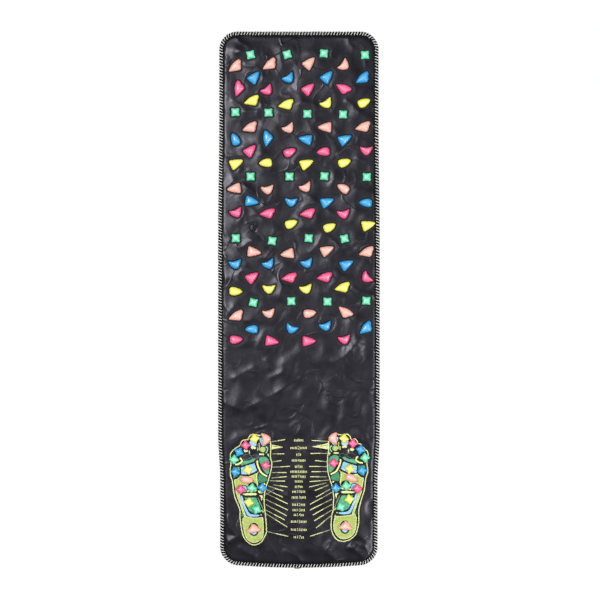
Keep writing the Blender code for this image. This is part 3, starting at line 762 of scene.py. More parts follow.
def puffShare(x, y):
    # 0 on the pressed rim, 1 where the mat has its full thickness; it swells at once near a stone, and
    # slowly in the patches
    spread = smoothStep(*mat["patchRange"], noiseAt(x, y, mat["patchSize"], "swell"))
    spread = spread * smoothStep(*mat["patchClear"], stoneDistance(x, y))
    width = mat["puffWidth"] + mat["puffSpread"] * spread
    t = np.clip((edgeInset(x, y) - mat["rimInner"]) / width, 0, 1)
    return (1 - spread) * (1 - (1 - t) ** 4) + spread * t * t * (3 - 2 * t)


def lieOfMat(x, y):
    # the mat doesn't lie quite flat: long low waves, none at the rim
    inside = smoothStep(*crumple["lieEase"], edgeInset(x, y))
    near, far = crumple["lieNear"], crumple["lieFar"]
    height = near + (far - near) * smoothStep(*crumple["lieFarPlaces"], y)
    return height * inside * smoothStep(*crumple["lieRange"], noiseAt(x, y, crumple["lieSize"], "lie"))


def wrinkleHeights(x, y):
    # small creases with sharp crests, in patches, and soft bulges
    sway = crumple["sway"]
    awayX, awayY = (noiseAt(x, y, crumple["swaySize"], form) for form in ("swayX", "swayY"))
    ridge = noiseAt(x + sway * awayX, y + sway * awayY, crumple["wrinkleSize"], "wrinkle")
    sharp = np.clip(1 - np.abs(ridge) * crumple["sharpness"], 0, 1) ** 2
    patches = smoothStep(*crumple["patchRange"], noiseAt(x, y, crumple["patchSize"], "patches"))
    bulges = smoothStep(*crumple["bulgeRange"], noiseAt(x, y, crumple["bulgeSize"], "bulge"))
    return crumple["wrinkle"] * sharp * patches + crumple["bulge"] * bulges


def lostDistance(x, y):
    # from the middle of the place that has lost its stone
    lostX, lostY = (mm(v) for v in topCover["lostStone"])
    return np.hypot(x - lostX, y - lostY)


def dimpleDepth(x, y):
    nearest = np.minimum(stoneDistance(x, y), lostDistance(x, y) - topCover["lostRadius"])
    return crumple["dimple"] * (1 - smoothStep(*crumple["dimpleReach"], nearest))


def lostDent(x, y):
    # the ring that the foot of the lost stone has left in the leather
    away = np.abs(lostDistance(x, y) - topCover["lostRims"][1])
    return topCover["lostDent"] * smoothStep(topCover["lostRingWidth"], 0, away)


def coverHeights(x, y):
    held = crumple["heldShare"]
    clear = held + (1 - held) * smoothStep(*crumple["stoneClear"], stoneDistance(x, y))
    inside = edgeInset(x, y) - mat["rimInner"]
    crumples = (crumpleHeights(x, y) + wrinkleHeights(x, y)) * smoothStep(0, crumple["rimEase"], inside)
    folds = foldHeights(x, y) * smoothStep(0, crumple["foldEase"], inside)
    swell = mat["rimTop"] + (mat["top"] - mat["rimTop"]) * puffShare(x, y)
    return swell + (crumples + folds) * clear - dimpleDepth(x, y) - lostDent(x, y) + lieOfMat(x, y)


def foamHeights(x, y):
    return foamLayer["top"] - dimpleDepth(x, y) + lieOfMat(x, y)


def backingHeights(x, y):
    wave = backingLayer["wave"] * (1 + noiseAt(x, y, backingLayer["waveSize"], "backing"))
    rim = smoothStep(*backingLayer["rimEase"], edgeInset(x, y))
    return mat["rimBottom"] * rim + wave * (1 - rim) + backingLayer["lieShare"] * lieOfMat(x, y)


# Sheets made of triangles whose edges follow the mat's outline, the print and the holes

sheetGrid = {
    "seamMargins": (mm(25), mm(24)),  # the seam's own points keep this far from the mat's two sides
    "seamRows": [mm(v) for v in (1, 2.5, 4.5, 7)],  # rows of points lie closer together by the seam
    "evenFrom": mm(10),
    "rowPitch": 0.87,  # share of the step: rows this far apart make triangles with equal sides
    "rimGap": 0.6,  # share of the step that the grid keeps from the innermost ring
    "markGap": 0.3,  # and that a point keeps from the print and the holes
    "rounding": 1e-4,  # in millimetres
}


def sheetMesh(name, part, piece, heights, shapes=(), holes=()):
    # shapes are (material slot, loop); a later one covers an earlier one
    splitY, step = mat["splitY"], piece["step"]
    rim = panelPath(part, piece["edge"], step)
    left, right = sheetGrid["seamMargins"]
    seam = [(x, splitY) for x in np.arange(-mat["width"] / 2 + left, mat["width"] / 2 - right, step)]
    side = 1 if part == "field" else -1
    outer = rim + sorted(seam, key=lambda p: side * p[0])
    extra = [p for inset in piece["rings"] for p in panelPath(part, inset, step)[1:-1]]
    even = np.arange(sheetGrid["evenFrom"], mat["length"], step * sheetGrid["rowPitch"])
    for number, off in enumerate(sheetGrid["seamRows"] + list(even)):
        shift = step / 2 if number % 2 else 0
        xs = np.arange(-mat["width"] / 2, mat["width"] / 2, step) + shift
        ys = np.full_like(xs, splitY + side * off)
        deep = edgeInset(xs, ys) > piece["rings"][-1] + step * sheetGrid["rimGap"]
        extra += [(float(a), float(b)) for a, b in zip(xs[deep], ys[deep])]
    marks = [loop for _, loop in shapes] + list(holes)
    if marks:
        near = KDTree(sum(len(loop) for loop in marks))
        for k, point in enumerate(p for loop in marks for p in loop):
            near.insert((*point, 0), k)
        near.balance()
        extra = [p for p in extra if near.find((*p, 0))[2] > step * sheetGrid["markGap"]]
    points, edges = [], []
    for loop in [outer] + marks:
        start, count = len(points), len(loop)
        edges += [(start + k, start + (k + 1) % count) for k in range(count)]
        points += loop
    points += extra
    flat = [Vector((a * 1000, b * 1000)) for a, b in points]  # in millimetres, where rounding is fine
    found, _, triangles, _, _, _ = delaunay_2d_cdt(flat, edges, [], 0, sheetGrid["rounding"])
    x, y = (np.array([p[axis] for p in found]) / 1000 for axis in (0, 1))
    triangles = np.array(triangles)
    middleX, middleY = x[triangles].mean(axis=1), y[triangles].mean(axis=1)
    kept = covers(outer, middleX, middleY)
    for loop in holes:
        kept &= ~covers(loop, middleX, middleY)
    slots = np.zeros(len(triangles), int)
    for slot, loop in shapes:
        slots[covers(loop, middleX, middleY)] = slot
    z = heights(x, y)
    mesh = bpy.data.meshes.new(name)
    mesh.from_pydata(list(zip(x.tolist(), y.tolist(), z.tolist())), [], triangles[kept].tolist())
    mesh.polygons.foreach_set("material_index", slots[kept])
    bm = bmesh.new()
    bm.from_mesh(mesh)
    bmesh.ops.delete(bm, geom=[v for v in bm.verts if not v.link_faces], context="VERTS")
    bm.to_mesh(mesh)
    bm.free()
    return mesh


def thickened(obj, layer):
    # gives a sheet its thickness, down or up from its face, with the last material on its other side
    thick = obj.modifiers.new("Thickness", "SOLIDIFY")
    thick.thickness = layer["thickness"]
    thick.offset = layer["grows"]
    thick.material_offset = len(obj.data.materials) - 1
    mesh = evaluatedMesh(obj)
    obj.modifiers.clear()
    obj.data = mesh
    mesh.shade_smooth()
    mesh.set_sharp_from_angle(angle=math.radians(layer["sharpAngle"]))


foldBlends = {  # two bodies and two places at each half's own hinge; bendAtFold reads them but doesn't bend the layer
    "field": ("field", "fold_band", mm(-184), mm(-196)),
    "chart": ("fold_band", "chart_end", mm(-204), mm(-216)),
}


def bendAtFold(obj, part):
    first, second, start, end = foldBlends[part]
    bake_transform(obj)


# The print on the chart end. Places are millimetres from the middle of the mat and the chart's line.

leftFoot = {
    "outline": [
        (-63, -17), (-62, -35), (-63, -53), (-60, -64), (-60, -75), (-63, -87), (-66, -100), (-71, -115),
        (-75, -129), (-77, -147), (-76, -167), (-74, -183), (-72, -210), (-72, -222), (-76, -232),
        (-83, -243), (-91, -248), (-100, -250), (-109, -247), (-117, -240), (-123, -231), (-127, -217),
        (-129, -204), (-131, -188), (-131, -172), (-136, -159), (-143, -142), (-146, -125), (-148, -107),
        (-152, -96), (-153, -79), (-151, -68), (-153, -50), (-149, -41), (-142, -34), (-131, -27),
        (-128, -19), (-122, -15), (-113, -14), (-110, -7), (-103, -2), (-95, -3), (-88, -5), (-81, -2)],
    "heel": [
        (-125, -191), (-126, -197), (-124, -210), (-121, -225), (-117, -235), (-111, -241), (-102, -245),
        (-93, -244), (-84, -238), (-79, -230), (-78, -222), (-78, -205), (-79, -192), (-80, -188),
        (-89, -189), (-102, -189), (-113, -187), (-119, -184), (-122, -188)],
}
rightFoot = {
    "outline": [
        (67, -17), (68, -30), (67, -42), (65, -58), (65, -74), (66, -86), (69, -99), (73, -111),
        (75, -117), (77, -127), (79, -145), (78, -155), (78, -171), (75, -181), (74, -192), (73, -205),
        (74, -216), (77, -226), (83, -235), (90, -240), (99, -242), (108, -241), (117, -237),
        (126, -229), (130, -221), (133, -210), (135, -198), (135, -184), (135, -171), (138, -158),
        (142, -144), (147, -129), (149, -116), (150, -105), (152, -97), (155, -88), (155, -79),
        (153, -68), (155, -55), (156, -47), (154, -40), (149, -36), (143, -29), (139, -24), (133, -23),
        (131, -17), (126, -12), (118, -14), (116, -8), (111, -3), (104, -2), (97, -4), (92, -3),
        (87, -2)],
    "heel": [
        (82, -182), (84, -185), (97, -185), (108, -184), (118, -182), (124, -179), (127, -181),
        (130, -188), (130, -197), (129, -210), (126, -221), (121, -229), (112, -235), (101, -237),
        (92, -235), (85, -228), (80, -219), (78, -210), (79, -197)],
}

# The zones of the left foot, from the bottom one up: form, ink, then its numbers. A loop is closed and
# smooth, a corner loop has sharp corners, a line has a width, and a disc has its middle and radius.
footZones = [
    ("loop", "lime", [
        (-144, -105), (-139, -103), (-132, -98), (-130, -95), (-122, -96), (-113, -97), (-104, -94),
        (-95, -90), (-89, -86), (-92, -91), (-93, -99), (-92, -109), (-91, -116), (-93, -124),
        (-95, -130), (-113, -131), (-128, -131), (-131, -136), (-129, -150), (-124, -167), (-118, -184),
        (-121, -187), (-125, -178), (-130, -163), (-136, -147), (-140, -134), (-142, -120)]),
    ("disc", "sky", (-102, -23, 8)),
    ("loop", "sky", [(-87, -12), (-85, -21), (-80, -28), (-73, -26), (-79, -17), (-83, -10)]),
    ("disc", "lime", (-80, -36, 6.3)),
    ("line", "mint", [(-73, -30), (-69, -34), (-70, -40), (-73, -44)], 2.2),
    ("line", "lime", [(-88, -22), (-87, -38)], 2.4),
    ("line", "pale", [(-88, -47), (-77, -47)], 3.6),
    ("corners", "pale", [(-70, -46), (-66, -46), (-67, -53)]),
    ("disc", "pale", (-103, -32, 3.4)),
    ("disc", "pale", (-98, -33, 2.6)),
    ("disc", "pale", (-119, -39, 3.6)),
    ("disc", "pale", (-116, -39, 3.0)),
    ("line", "pale", [(-110, -39), (-110, -46)], 2.0),
    ("line", "pale", [(-91, -32), (-91, -39)], 2.0),
    ("line", "faint", [
        (-125, -53), (-118, -47), (-106, -50), (-108, -55), (-118, -59), (-124, -57)], 1.0),
    ("line", "faint", [(-104, -50), (-95, -48), (-89, -53), (-93, -56), (-102, -57), (-105, -53)], 1.0),
    ("loop", "green", [
        (-128, -70), (-124, -62), (-111, -61), (-100, -56), (-97, -58), (-101, -63), (-111, -67),
        (-121, -70), (-127, -72)]),
    ("loop", "green", [
        (-88, -58), (-86, -54), (-78, -52), (-70, -55), (-66, -64), (-65, -74), (-67, -89), (-70, -91),
        (-76, -86), (-81, -77), (-86, -67)]),
    ("line", "yellow", [(-92, -61), (-92, -68), (-89, -77), (-84, -87), (-78, -92), (-70, -96)], 3.4),
    ("corners", "sky", [
        (-129, -77), (-119, -74), (-99, -67), (-97, -72), (-93, -83), (-101, -88), (-111, -92),
        (-128, -92)]),
    ("corners", "green", [
        (-146, -76), (-132, -76), (-132, -91), (-138, -97), (-145, -100), (-149, -86)]),
    ("line", "yellow", [(-131, -55), (-127, -60), (-128, -65), (-135, -69), (-142, -70)], 3.4),
    ("loop", "deepGreen", [
        (-88, -91), (-81, -94), (-71, -100), (-71, -106), (-76, -109), (-88, -111), (-90, -104)]),
    ("line", "yellow", [(-93, -92), (-93, -101), (-92, -110), (-91, -116)], 1.6),
    ("corners", "yellow", [(-91, -128), (-89, -134), (-79, -134), (-78, -130)]),
    ("disc", "yellow", (-76, -113, 2.0)),
    ("disc", "leather", (-123, -125, 9.6)),
    ("disc", "sky", (-123, -125, 7.6)),
    ("disc", "leather", (-103, -120, 10.6)),
    ("disc", "yellow", (-114, -130, 1.7)),
    ("disc", "yellow", (-97, -128, 1.8)),
    ("corners", "pale", [
        (-127, -136), (-111, -134), (-95, -134), (-93, -137), (-97, -139), (-119, -139)]),
    ("corners", "yellow", [(-88, -139), (-81, -139), (-80, -143), (-83, -152), (-84, -143)]),
    ("loop", "sky", [
        (-129, -139), (-125, -144), (-122, -154), (-117, -167), (-110, -179), (-101, -182), (-89, -183),
        (-89, -186), (-102, -187), (-113, -185), (-119, -175), (-126, -159), (-129, -147)]),
    ("corners", "green", [
        (-120, -144), (-95, -144), (-91, -153), (-86, -163), (-83, -173), (-91, -178), (-102, -178),
        (-110, -173), (-114, -165), (-118, -154)]),
    ("loop", "mint", [(-97, -163), (-90, -163), (-86, -170), (-87, -174), (-92, -176), (-99, -174)]),
    ("line", "dim", [(-91, -144), (-78, -173)], 1.2),
    ("line", "pale", [(-83, -172), (-78, -177)], 2.2),
    ("disc", "pale", (-84, -183, 1.5)),
    ("corners", "deepGreen", [(-128, -177), (-125, -181), (-124, -185), (-127, -188)]),
]
heelDisc = {
    "left": (-99.9, -215.2),
    "right": (104.0, -210.2),
    "half": (8.5, 11.6),  # half its width and its height
    "ringHalf": (11.7, 14.8),  # and those of the dark ring round it
}

leftLeaders = [
    (-60, -19, -30, -14), (-60, -46, -32, -46), (-58, -64, -38, -61), (-58, -76, -19, -74),
    (-60, -88, -27, -88), (-60, -100, -26, -97), (-64, -106, -30, -107), (-56, -115, -25, -120),
    (-67, -118, -34, -129), (-73, -125, -35, -143), (-73, -134, -24, -158), (-73, -148, -24, -172),
    (-73, -160, -26, -185), (-73, -172, -31, -194), (-73, -180, -25, -210), (-72, -220, -23, -231)]
rightLeaders = [
    (65, -18, 30, -16), (67, -45, 27, -45), (65, -64, 37, -61), (65, -75, 24, -74), (65, -86, 29, -86),
    (63, -98, 26, -97), (68, -105, 25, -108), (63, -111, 24, -120), (67, -116, 36, -128),
    (71, -125, 39, -143), (75, -132, 26, -159), (75, -147, 26, -172), (75, -159, 32, -183),
    (75, -172, 35, -196), (75, -183, 39, -212), (75, -215, 26, -230)]
leaderWedges = [[(-60, -25), (-60, -36), (-34, -31)], [(67, -22), (67, -36), (30, -30)]]
wedgeGaps = [[(-60, -28), (-46, -30)], [(67, -26), (48, -29)]]  # dark lines in the wedges

chartPrint = {  # lengths in millimetres
    "shift": (-0.9, 0.8),  # the whole print lies this much off the stones' places
    "mirrorLine": 1.0,  # the right foot's zones are those of the left, mirrored across this line,
    "mirrorScale": 0.98,  # shortened and moved up a little
    "mirrorShift": 2,
    "footLine": 2.1,  # widths of its lines
    "limeBorder": 1.5,
    "heelBorder": 1.6,
    "leaderStart": 1.5,
    "leader": 1.8,
    "leaderTurn": 0.45,  # a leader is dim up to this share of its length
    "wedgeGap": 1.0,
    "discSides": 18,
    "heelSides": 24,
}

labels = {
    "middle": 0.4,
    "size": 9.6,  # type size in millimetres; its figures are 7 mm high
    "tick": (1.6, 5.0),  # width and height of the ticks beside a figure
    "tickPitch": 3.3,
    "gap": 2.2,  # between a figure and its first ticks
    # each label's height on the chart and half its width with its ticks
    "rows": [
        (-16, 12), (-33, 20), (-48, 8), (-61, 17), (-75, 11), (-86, 20), (-97, 18), (-108, 12),
        (-120, 12), (-131, 18), (-144, 18), (-160, 15), (-172, 15), (-183, 14), (-198, 18), (-216, 21),
        (-233, 12)],
}


def between(a, b, c, d, steps):
    # points on the smooth curve from b to c, which passes a before and d after
    out = []
    for s in range(steps):
        t = s / steps
        out.append((2 * b + (c - a) * t + (2 * a - 5 * b + 4 * c - d) * t * t
                    + (3 * b - a - 3 * c + d) * t ** 3) / 2)
    return out


def smoothLoop(points, steps=3):
    # a closed curve through the points
    out = []
    for k in range(len(points)):
        around = (Vector(points[(k + j) % len(points)]) for j in (-1, 0, 1, 2))
        out += between(*around, steps)
    return [(p.x, p.y) for p in out]


def smoothLine(points, steps=3):
    ends = [Vector(points[0]) * 2 - Vector(points[1]), Vector(points[-1]) * 2 - Vector(points[-2])]
    closed = smoothLoop([tuple(ends[0])] + list(points) + [tuple(ends[1])], steps)
    return closed[steps:steps * len(points)] + [points[-1]]


def ribbon(points, width):
    # the outline of a line of this width
    line = [Vector(p) for p in points]
    left, right = [], []
    for k, point in enumerate(line):
        along = (line[min(k + 1, len(line) - 1)] - line[max(k - 1, 0)]).normalized()
        across = Vector((-along.y, along.x)) * width / 2
        left.append(tuple(point + across))
        right.append(tuple(point - across))
    return right + left[::-1]


def shrunk(loop, by):
    loop = anticlockwise(loop)
    line = [Vector(p) for p in loop]
    out = []
    for k, point in enumerate(line):
        along = (line[(k + 1) % len(line)] - line[k - 1]).normalized()
        out.append(tuple(point + Vector((-along.y, along.x)) * by))
    return out


def mirrored(loop):
    line, scale, shift = (chartPrint[key] for key in ("mirrorLine", "mirrorScale", "mirrorShift"))
    return [(2 * line - x, y * scale + shift) for x, y in loop]


def zoneShapes(zone):
    # a zone's loops with their inks; a lime zone has a pale border
    form, ink = zone[:2]
    if form == "disc":
        x, y, radius = zone[2]
        loop = circle(x, y, radius, chartPrint["discSides"])
    elif form == "line":
        loop = ribbon(smoothLine(zone[2]) if len(zone[2]) > 2 else zone[2], zone[3])
    else:
        loop = smoothLoop(zone[2]) if form == "loop" else zone[2]
    if ink == "lime" and form == "loop":
        return [("pale", loop), ("lime", shrunk(loop, chartPrint["limeBorder"]))]
    return [(ink, loop)]


def figureLoops(text, x, y):
    # the outlines of a number in the plain built-in type, its outer ones first
    curve = bpy.data.curves.new("figures", "FONT")
    curve.body = text
    curve.size = labels["size"]
    curve.align_x, curve.align_y = "CENTER", "CENTER"
    curve.resolution_u = 2
    curve.fill_mode = "NONE"
    obj = newObject("figures", curve)
    mesh = obj.to_mesh()
    follows = {}
    for edge in mesh.edges:
        for a, b in (tuple(edge.vertices), tuple(edge.vertices)[::-1]):
            follows.setdefault(a, []).append(b)
    loops, seen = [], set()
    for first in follows:
        if first in seen:
            continue
        loop, here = [], first
        while here not in seen:
            seen.add(here)
            loop.append(here)
            here = next((n for n in follows[here] if n not in seen), first)
        loops.append([(mesh.vertices[k].co.x + x, mesh.vertices[k].co.y + y) for k in loop])
    obj.to_mesh_clear()
    bpy.data.objects.remove(obj)
    loops.sort(key=lambda loop: -abs(signedArea(loop)))
    return loops


def labelShapes():
    middle = labels["middle"]
    for number, (y, half) in enumerate(labels["rows"], 1):
        loops = figureLoops(str(number), middle, y)
        reach = max(abs(x - middle) for loop in loops for x, _ in loop) + labels["gap"]
        for k, loop in enumerate(loops):
            corner = [np.array([value]) for value in loop[0]]
            hole = any(covers(other, *corner)[0] for other in loops[:k])
            yield ("leather" if hole else "pale"), loop
        width, height = labels["tick"]
        for k in range(round((half - reach) / labels["tickPitch"])):
            for side in (-1, 1):
                x = middle + side * (reach + k * labels["tickPitch"])
                yield "pale", ribbon([(x, y - height / 2), (x, y + height / 2)], width)


def printShapes():
    shapes = []
    for foot in (leftFoot, rightFoot):
        shapes.append(("pale", ribbon(smoothLine(foot["outline"], 2), chartPrint["footLine"])))
    for zone in footZones:
        for ink, loop in zoneShapes(zone):
            shapes += [(ink, loop), (ink, mirrored(loop))]
    for side, foot in (("left", leftFoot), ("right", rightFoot)):
        heel = smoothLoop(foot["heel"])
        shapes += [("pale", heel), ("lime", shrunk(heel, chartPrint["heelBorder"]))]
        x, y = heelDisc[side]
        ring = circle(0, 0, 1, chartPrint["heelSides"])
        for ink, (halfX, halfY) in (("leather", heelDisc["ringHalf"]), ("sky", heelDisc["half"])):
            shapes.append((ink, [(x + a * halfX, y + b * halfY) for a, b in ring]))
    turn = chartPrint["leaderTurn"]
    for x0, y0, x1, y1 in leftLeaders + rightLeaders:
        middle = (x0 + (x1 - x0) * turn, y0 + (y1 - y0) * turn)
        shapes.append(("dim", ribbon([(x0, y0), middle], chartPrint["leaderStart"])))
        shapes.append(("pale", ribbon([middle, (x1, y1)], chartPrint["leader"])))
    shapes += [("pale", wedge) for wedge in leaderWedges]
    shapes += [("leather", ribbon(gap, chartPrint["wedgeGap"])) for gap in wedgeGaps]
    return shapes + list(labelShapes())


def placedPrint(slots):
    shiftX, shiftY = chartPrint["shift"]
    for ink, loop in printShapes():
        yield slots[ink], [(mm(x + shiftX), layout["chartLine"] + mm(y + shiftY)) for x, y in loop]


# The top cover, in two halves that meet in the middle of the fold band

topCover = {
    "step": mm(3.0),
    "edge": mat["cutEdge"],
    "rings": [mm(v) for v in (5, 8.6, 9.6, 11, 12.8, 15, 17.8)],
    "thickness": mat["coverThickness"],
    "grows": -1,  # down from its heights; 1 is up
    "sharpAngle": 45,
    "hole": mm(2.8),  # radius of the hole for a stone's peg
    "holeSides": 10,
    "dullAndShadeReach": (mm(4.4), mm(1.9)),  # the leather is dulled and given painted shade within this distance of a stone
    "lostStone": (-101, 161),
    "lostRadius": mm(6),  # of the dent its foot left
    "lostRims": [mm(v) for v in (8.6, 6.2, 3.8)],
    "lostRingWidth": mm(2.4),
    "lostDent": mm(1.1),
    "lostSides": 24,
    # the holes of its prongs, from its middle
    "prongHoles": [(-0.9, 1.7), (2.9, 4.6), (2.9, -1.7), (5.7, 7.4), (-0.3, 7.7), (-8.6, 1.7),
                   (7.4, 1.1)],
    "prongHole": mm(1.5),
    "prongSides": 8,
}


# share of the leather's dulling and painted shade: 1 next to a stone, fading out with distance
def drawnInShare(mesh):
    x, y = (np.array([v.co[axis] for v in mesh.vertices]) for axis in (0, 1))
    return smoothStep(*topCover["dullAndShadeReach"], stoneDistance(x, y))


def pegHoles(part, layer):
    near = [p for p in stonePlaces if (p[1] > mat["splitY"]) == (part == "field")]
    return [circle(x, y, layer["hole"], layer["holeSides"]) for x, y in near]


def makeTopCover(part):
    inkNames = list(inkMaterials)
    slots = {"leather": 0, **{name: k + 1 for k, name in enumerate(inkNames)}}
    holes = pegHoles(part, topCover)
    if part == "field":
        spotX, spotY = topCover["lostStone"]
        holes += [circle(mm(spotX + x), mm(spotY + y), topCover["prongHole"], topCover["prongSides"])
                  for x, y in topCover["prongHoles"]]
        shapes = [(slots["leather"], circle(mm(spotX), mm(spotY), radius, topCover["lostSides"]))
                  for radius in topCover["lostRims"]]
    else:
        shapes = list(placedPrint(slots))
    mesh = sheetMesh("topCover_" + part, part, topCover, coverHeights, shapes, holes)
    inks = [inkMaterials[name] for name in inkNames]
    cover = newObject("topCover_" + part, mesh, [leatherMaterial] + inks + [knitMaterial])
    thickened(cover, topCover)
    # dulling and painted shade round each stone, read by the leather's material
    dullAndPaintedShade = cover.data.attributes.new("dullAndPaintedShade", "FLOAT", "POINT")
    dullAndPaintedShade.data.foreach_set("value", drawnInShare(cover.data))
    bendAtFold(cover, part)
    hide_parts(*{"field": ("top_cover_field", "top_cover_fold"),
                         "chart": ("top_cover_chart",)}[part])
    return cover


topCovers = {part: makeTopCover(part) for part in ("field", "chart")}
print("top cover made")


# Foam and backing

foamLayer = {
    "step": mm(8),
    "edge": mm(17),
    "rings": [mm(19), mm(24)],
    "top": mm(4.1),
    "thickness": mm(2.6),
    "grows": -1,
    "sharpAngle": 40,
    "hole": mm(8.2),
    "holeSides": 14,
}
backingLayer = {
    "step": mm(6),
    "edge": mat["cutEdge"],
    "rings": [mm(v) for v in (5, 9, 11, 13, 15.5, 19)],
    "thickness": mat["coverThickness"],
    "grows": 1,
    "sharpAngle": 40,
    "rimEase": (mm(15), mm(9.6)),  # it comes up to the seam over these distances from the edge
    "wave": mm(0.2),
    "waveSize": mm(50),
    "lieShare": 0.7,  # it rises with the cover, but less
}


def makeFoam(part):
    holes = pegHoles(part, foamLayer)
    if part == "field":
        spotX, spotY = (mm(v) for v in topCover["lostStone"])
        holes.append(circle(spotX, spotY, foamLayer["hole"], foamLayer["holeSides"]))
    mesh = sheetMesh("foam_" + part, part, foamLayer, foamHeights, (), holes)
    foam = newObject("foam_" + part, mesh, [foamMaterial])
    thickened(foam, foamLayer)
    bendAtFold(foam, part)
    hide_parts(*{"field": ("padding_field", "padding_fold"), "chart": ("padding_chart",)}[part])
    return foam


def makeBacking(part):
    mesh = sheetMesh("backing_" + part, part, backingLayer, backingHeights)
    backing = newObject("backing_" + part, mesh, [backingMaterial])
    thickened(backing, backingLayer)
    bendAtFold(backing, part)
    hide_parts(*{"field": ("bottom_cover_field", "bottom_cover_fold"),
                           "chart": ("bottom_cover_chart",)}[part])
    return backing


foams = {part: makeFoam(part) for part in ("field", "chart")}
backings = {part: makeBacking(part) for part in ("field", "chart")}
print("foam and backing made")


# Stones

stoneShape = {
    "base": mat["top"] - mm(0.1),
    "tall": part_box("stone_row_02_salmon")[1][2],  # height of the large stones' crowns
    "low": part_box("stone_row_01_green")[1][2],  # and of the four-pointed ones
    "tipShare": 0.17,  # how much of each side rounding takes off
    # share of the outline's size and of the stone's height, from its underside to its crown
    "profile": [(0.92, 0.0), (0.98, 0.04), (1.0, 0.13), (0.99, 0.28), (0.955, 0.43), (0.885, 0.57),
                (0.765, 0.70), (0.595, 0.82), (0.39, 0.92), (0.18, 0.98)],
    "foot": 0.1,  # share of the height below which a stone gets no painted highlight
    "sharpAngle": 60,
    "pegRadius": mm(2.5),
    "pegSides": 12,
    "pegPast": mm(0.5),  # how far the peg goes down past the washer
    "pegInto": mm(0.4),  # and up into the stone
    "washerRadius": mm(7.2),
    "washerSides": 20,
    "washerTop": mm(3.9),
    "washerBottom": mm(3.2),
}


def roundedTips(points):
    # cuts each corner twice, so that the tips are round
    share = stoneShape["tipShare"]
    for _ in range(2):
        sides = zip(points, points[1:] + points[:1])
        points = [p for a, b in sides for p in (a.lerp(b, share), b.lerp(a, share))]
    return points


def skinRings(bm, rings, uv=None, uvsOf=None):
    # faces between rings of points, one after another; uvsOf gives a face's four UVs from its place
    made = [[bm.verts.new(p) for p in ring] for ring in rings]
    count = len(made[0])
    for row, (low, high) in enumerate(zip(made, made[1:])):
        for k in range(count):
            face = bm.faces.new((low[k], low[(k + 1) % count], high[(k + 1) % count], high[k]))
            for loop, place in zip(face.loops, uvsOf(row, k) if uvsOf else ()):
                loop[uv].uv = place
    return made


def meshFrom(bm, name):
    mesh = bpy.data.meshes.new(name)
    bm.to_mesh(mesh)
    bm.free()
    mesh.shade_smooth()
    return mesh


def addLathe(bm, x, y, profile, count):
    # a closed turned form from (radius, height) points, bottom first
    rings = skinRings(bm, [[(*p, z) for p in circle(x, y, radius, count)] for radius, z in profile])
    bm.faces.new(rings[0][::-1])
    bm.faces.new(rings[-1])


def addStone(bm, edgeShare, kind, turn, x, y):
    lift = float(lieOfMat(np.array([x]), np.array([y]))[0])
    base = stoneShape["base"] + lift
    height = stoneShape["low" if kind in ("star", "gem") else "tall"] - stoneShape["base"]
    line = turnedOutline(roundedTips([Vector(p) * mm(1) for p in stoneOutlines[kind]]), turn, 0, 0)
    profile = stoneShape["profile"]
    rings = skinRings(bm, [[(x + a * size, y + b * size, base + height * up) for a, b in line]
                           for size, up in profile])
    # each ring's size share, which the plastic turns into a painted highlight towards the crown; none near
    # the foot
    for ring, (size, up) in zip(rings, profile):
        for vert in ring:
            vert[edgeShare] = size if up > stoneShape["foot"] else 1.0
    crown = bm.verts.new((x, y, base + height))
    count = len(line)
    for k in range(count):
        bm.faces.new((rings[-1][k], rings[-1][(k + 1) % count], crown))
    bm.faces.new(rings[0][::-1])
    peg, washer = stoneShape["pegRadius"], stoneShape["washerRadius"]
    low, high = stoneShape["washerBottom"] + lift, stoneShape["washerTop"] + lift
    pegProfile = [(peg, low - stoneShape["pegPast"]), (peg, base + stoneShape["pegInto"])]
    addLathe(bm, x, y, pegProfile, stoneShape["pegSides"])
    addLathe(bm, x, y, [(washer, low), (washer, high)], stoneShape["washerSides"])


def makeStones(node, body, colour, stones):
    bm = bmesh.new()
    edgeShare = bm.verts.layers.float.new("edgeShare")
    for stone in stones:
        addStone(bm, edgeShare, *stone)
    mesh = meshFrom(bm, node)
    mesh.set_sharp_from_angle(angle=math.radians(stoneShape["sharpAngle"]))
    first, *others = node.split("_")
    name = first + "".join(word.capitalize() for word in others)
    obj = newObject(name, mesh, [stoneMaterials[colour]])
    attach(obj, body)
    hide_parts(node)


for group in groups:
    makeStones(*group)
print("stones made")


# The overlocked edge: a dense black thread band, with off-white and black thread over it in turn

overlock = {
    "pitch": mm(6.5),  # of the off-white stitches
    "turnJitter": math.radians(4),
    "sizeJitter": 0.06,
    "seed": 7,
    "pathSpacing": mm(2),
    "sides": 6,  # of a thread
    "taper": 0.55,  # its ends have this share of its width
    "lay": 3,  # a turn of its plies takes this many times its thickness
    # the section of the dense band: inset and height
    "band": [(9.2, 4.0), (9.3, 4.4), (8.6, 4.55), (3.0, 4.55), (1.5, 4.3), (0.75, 3.6), (0.6, 2.6),
             (0.75, 1.6), (1.5, 0.95), (3.0, 0.75), (8.6, 0.75), (9.0, 1.0), (8.6, 1.3), (3.2, 1.3),
             (1.9, 1.45), (1.0, 1.7), (0.95, 3.5), (1.9, 3.85), (3.2, 3.95)],
    "bandSpacing": mm(4),
    "bandLay": (0.25, 2),  # from one face to the next, round the section and along the edge
    "bandSharpAngle": 50,
}

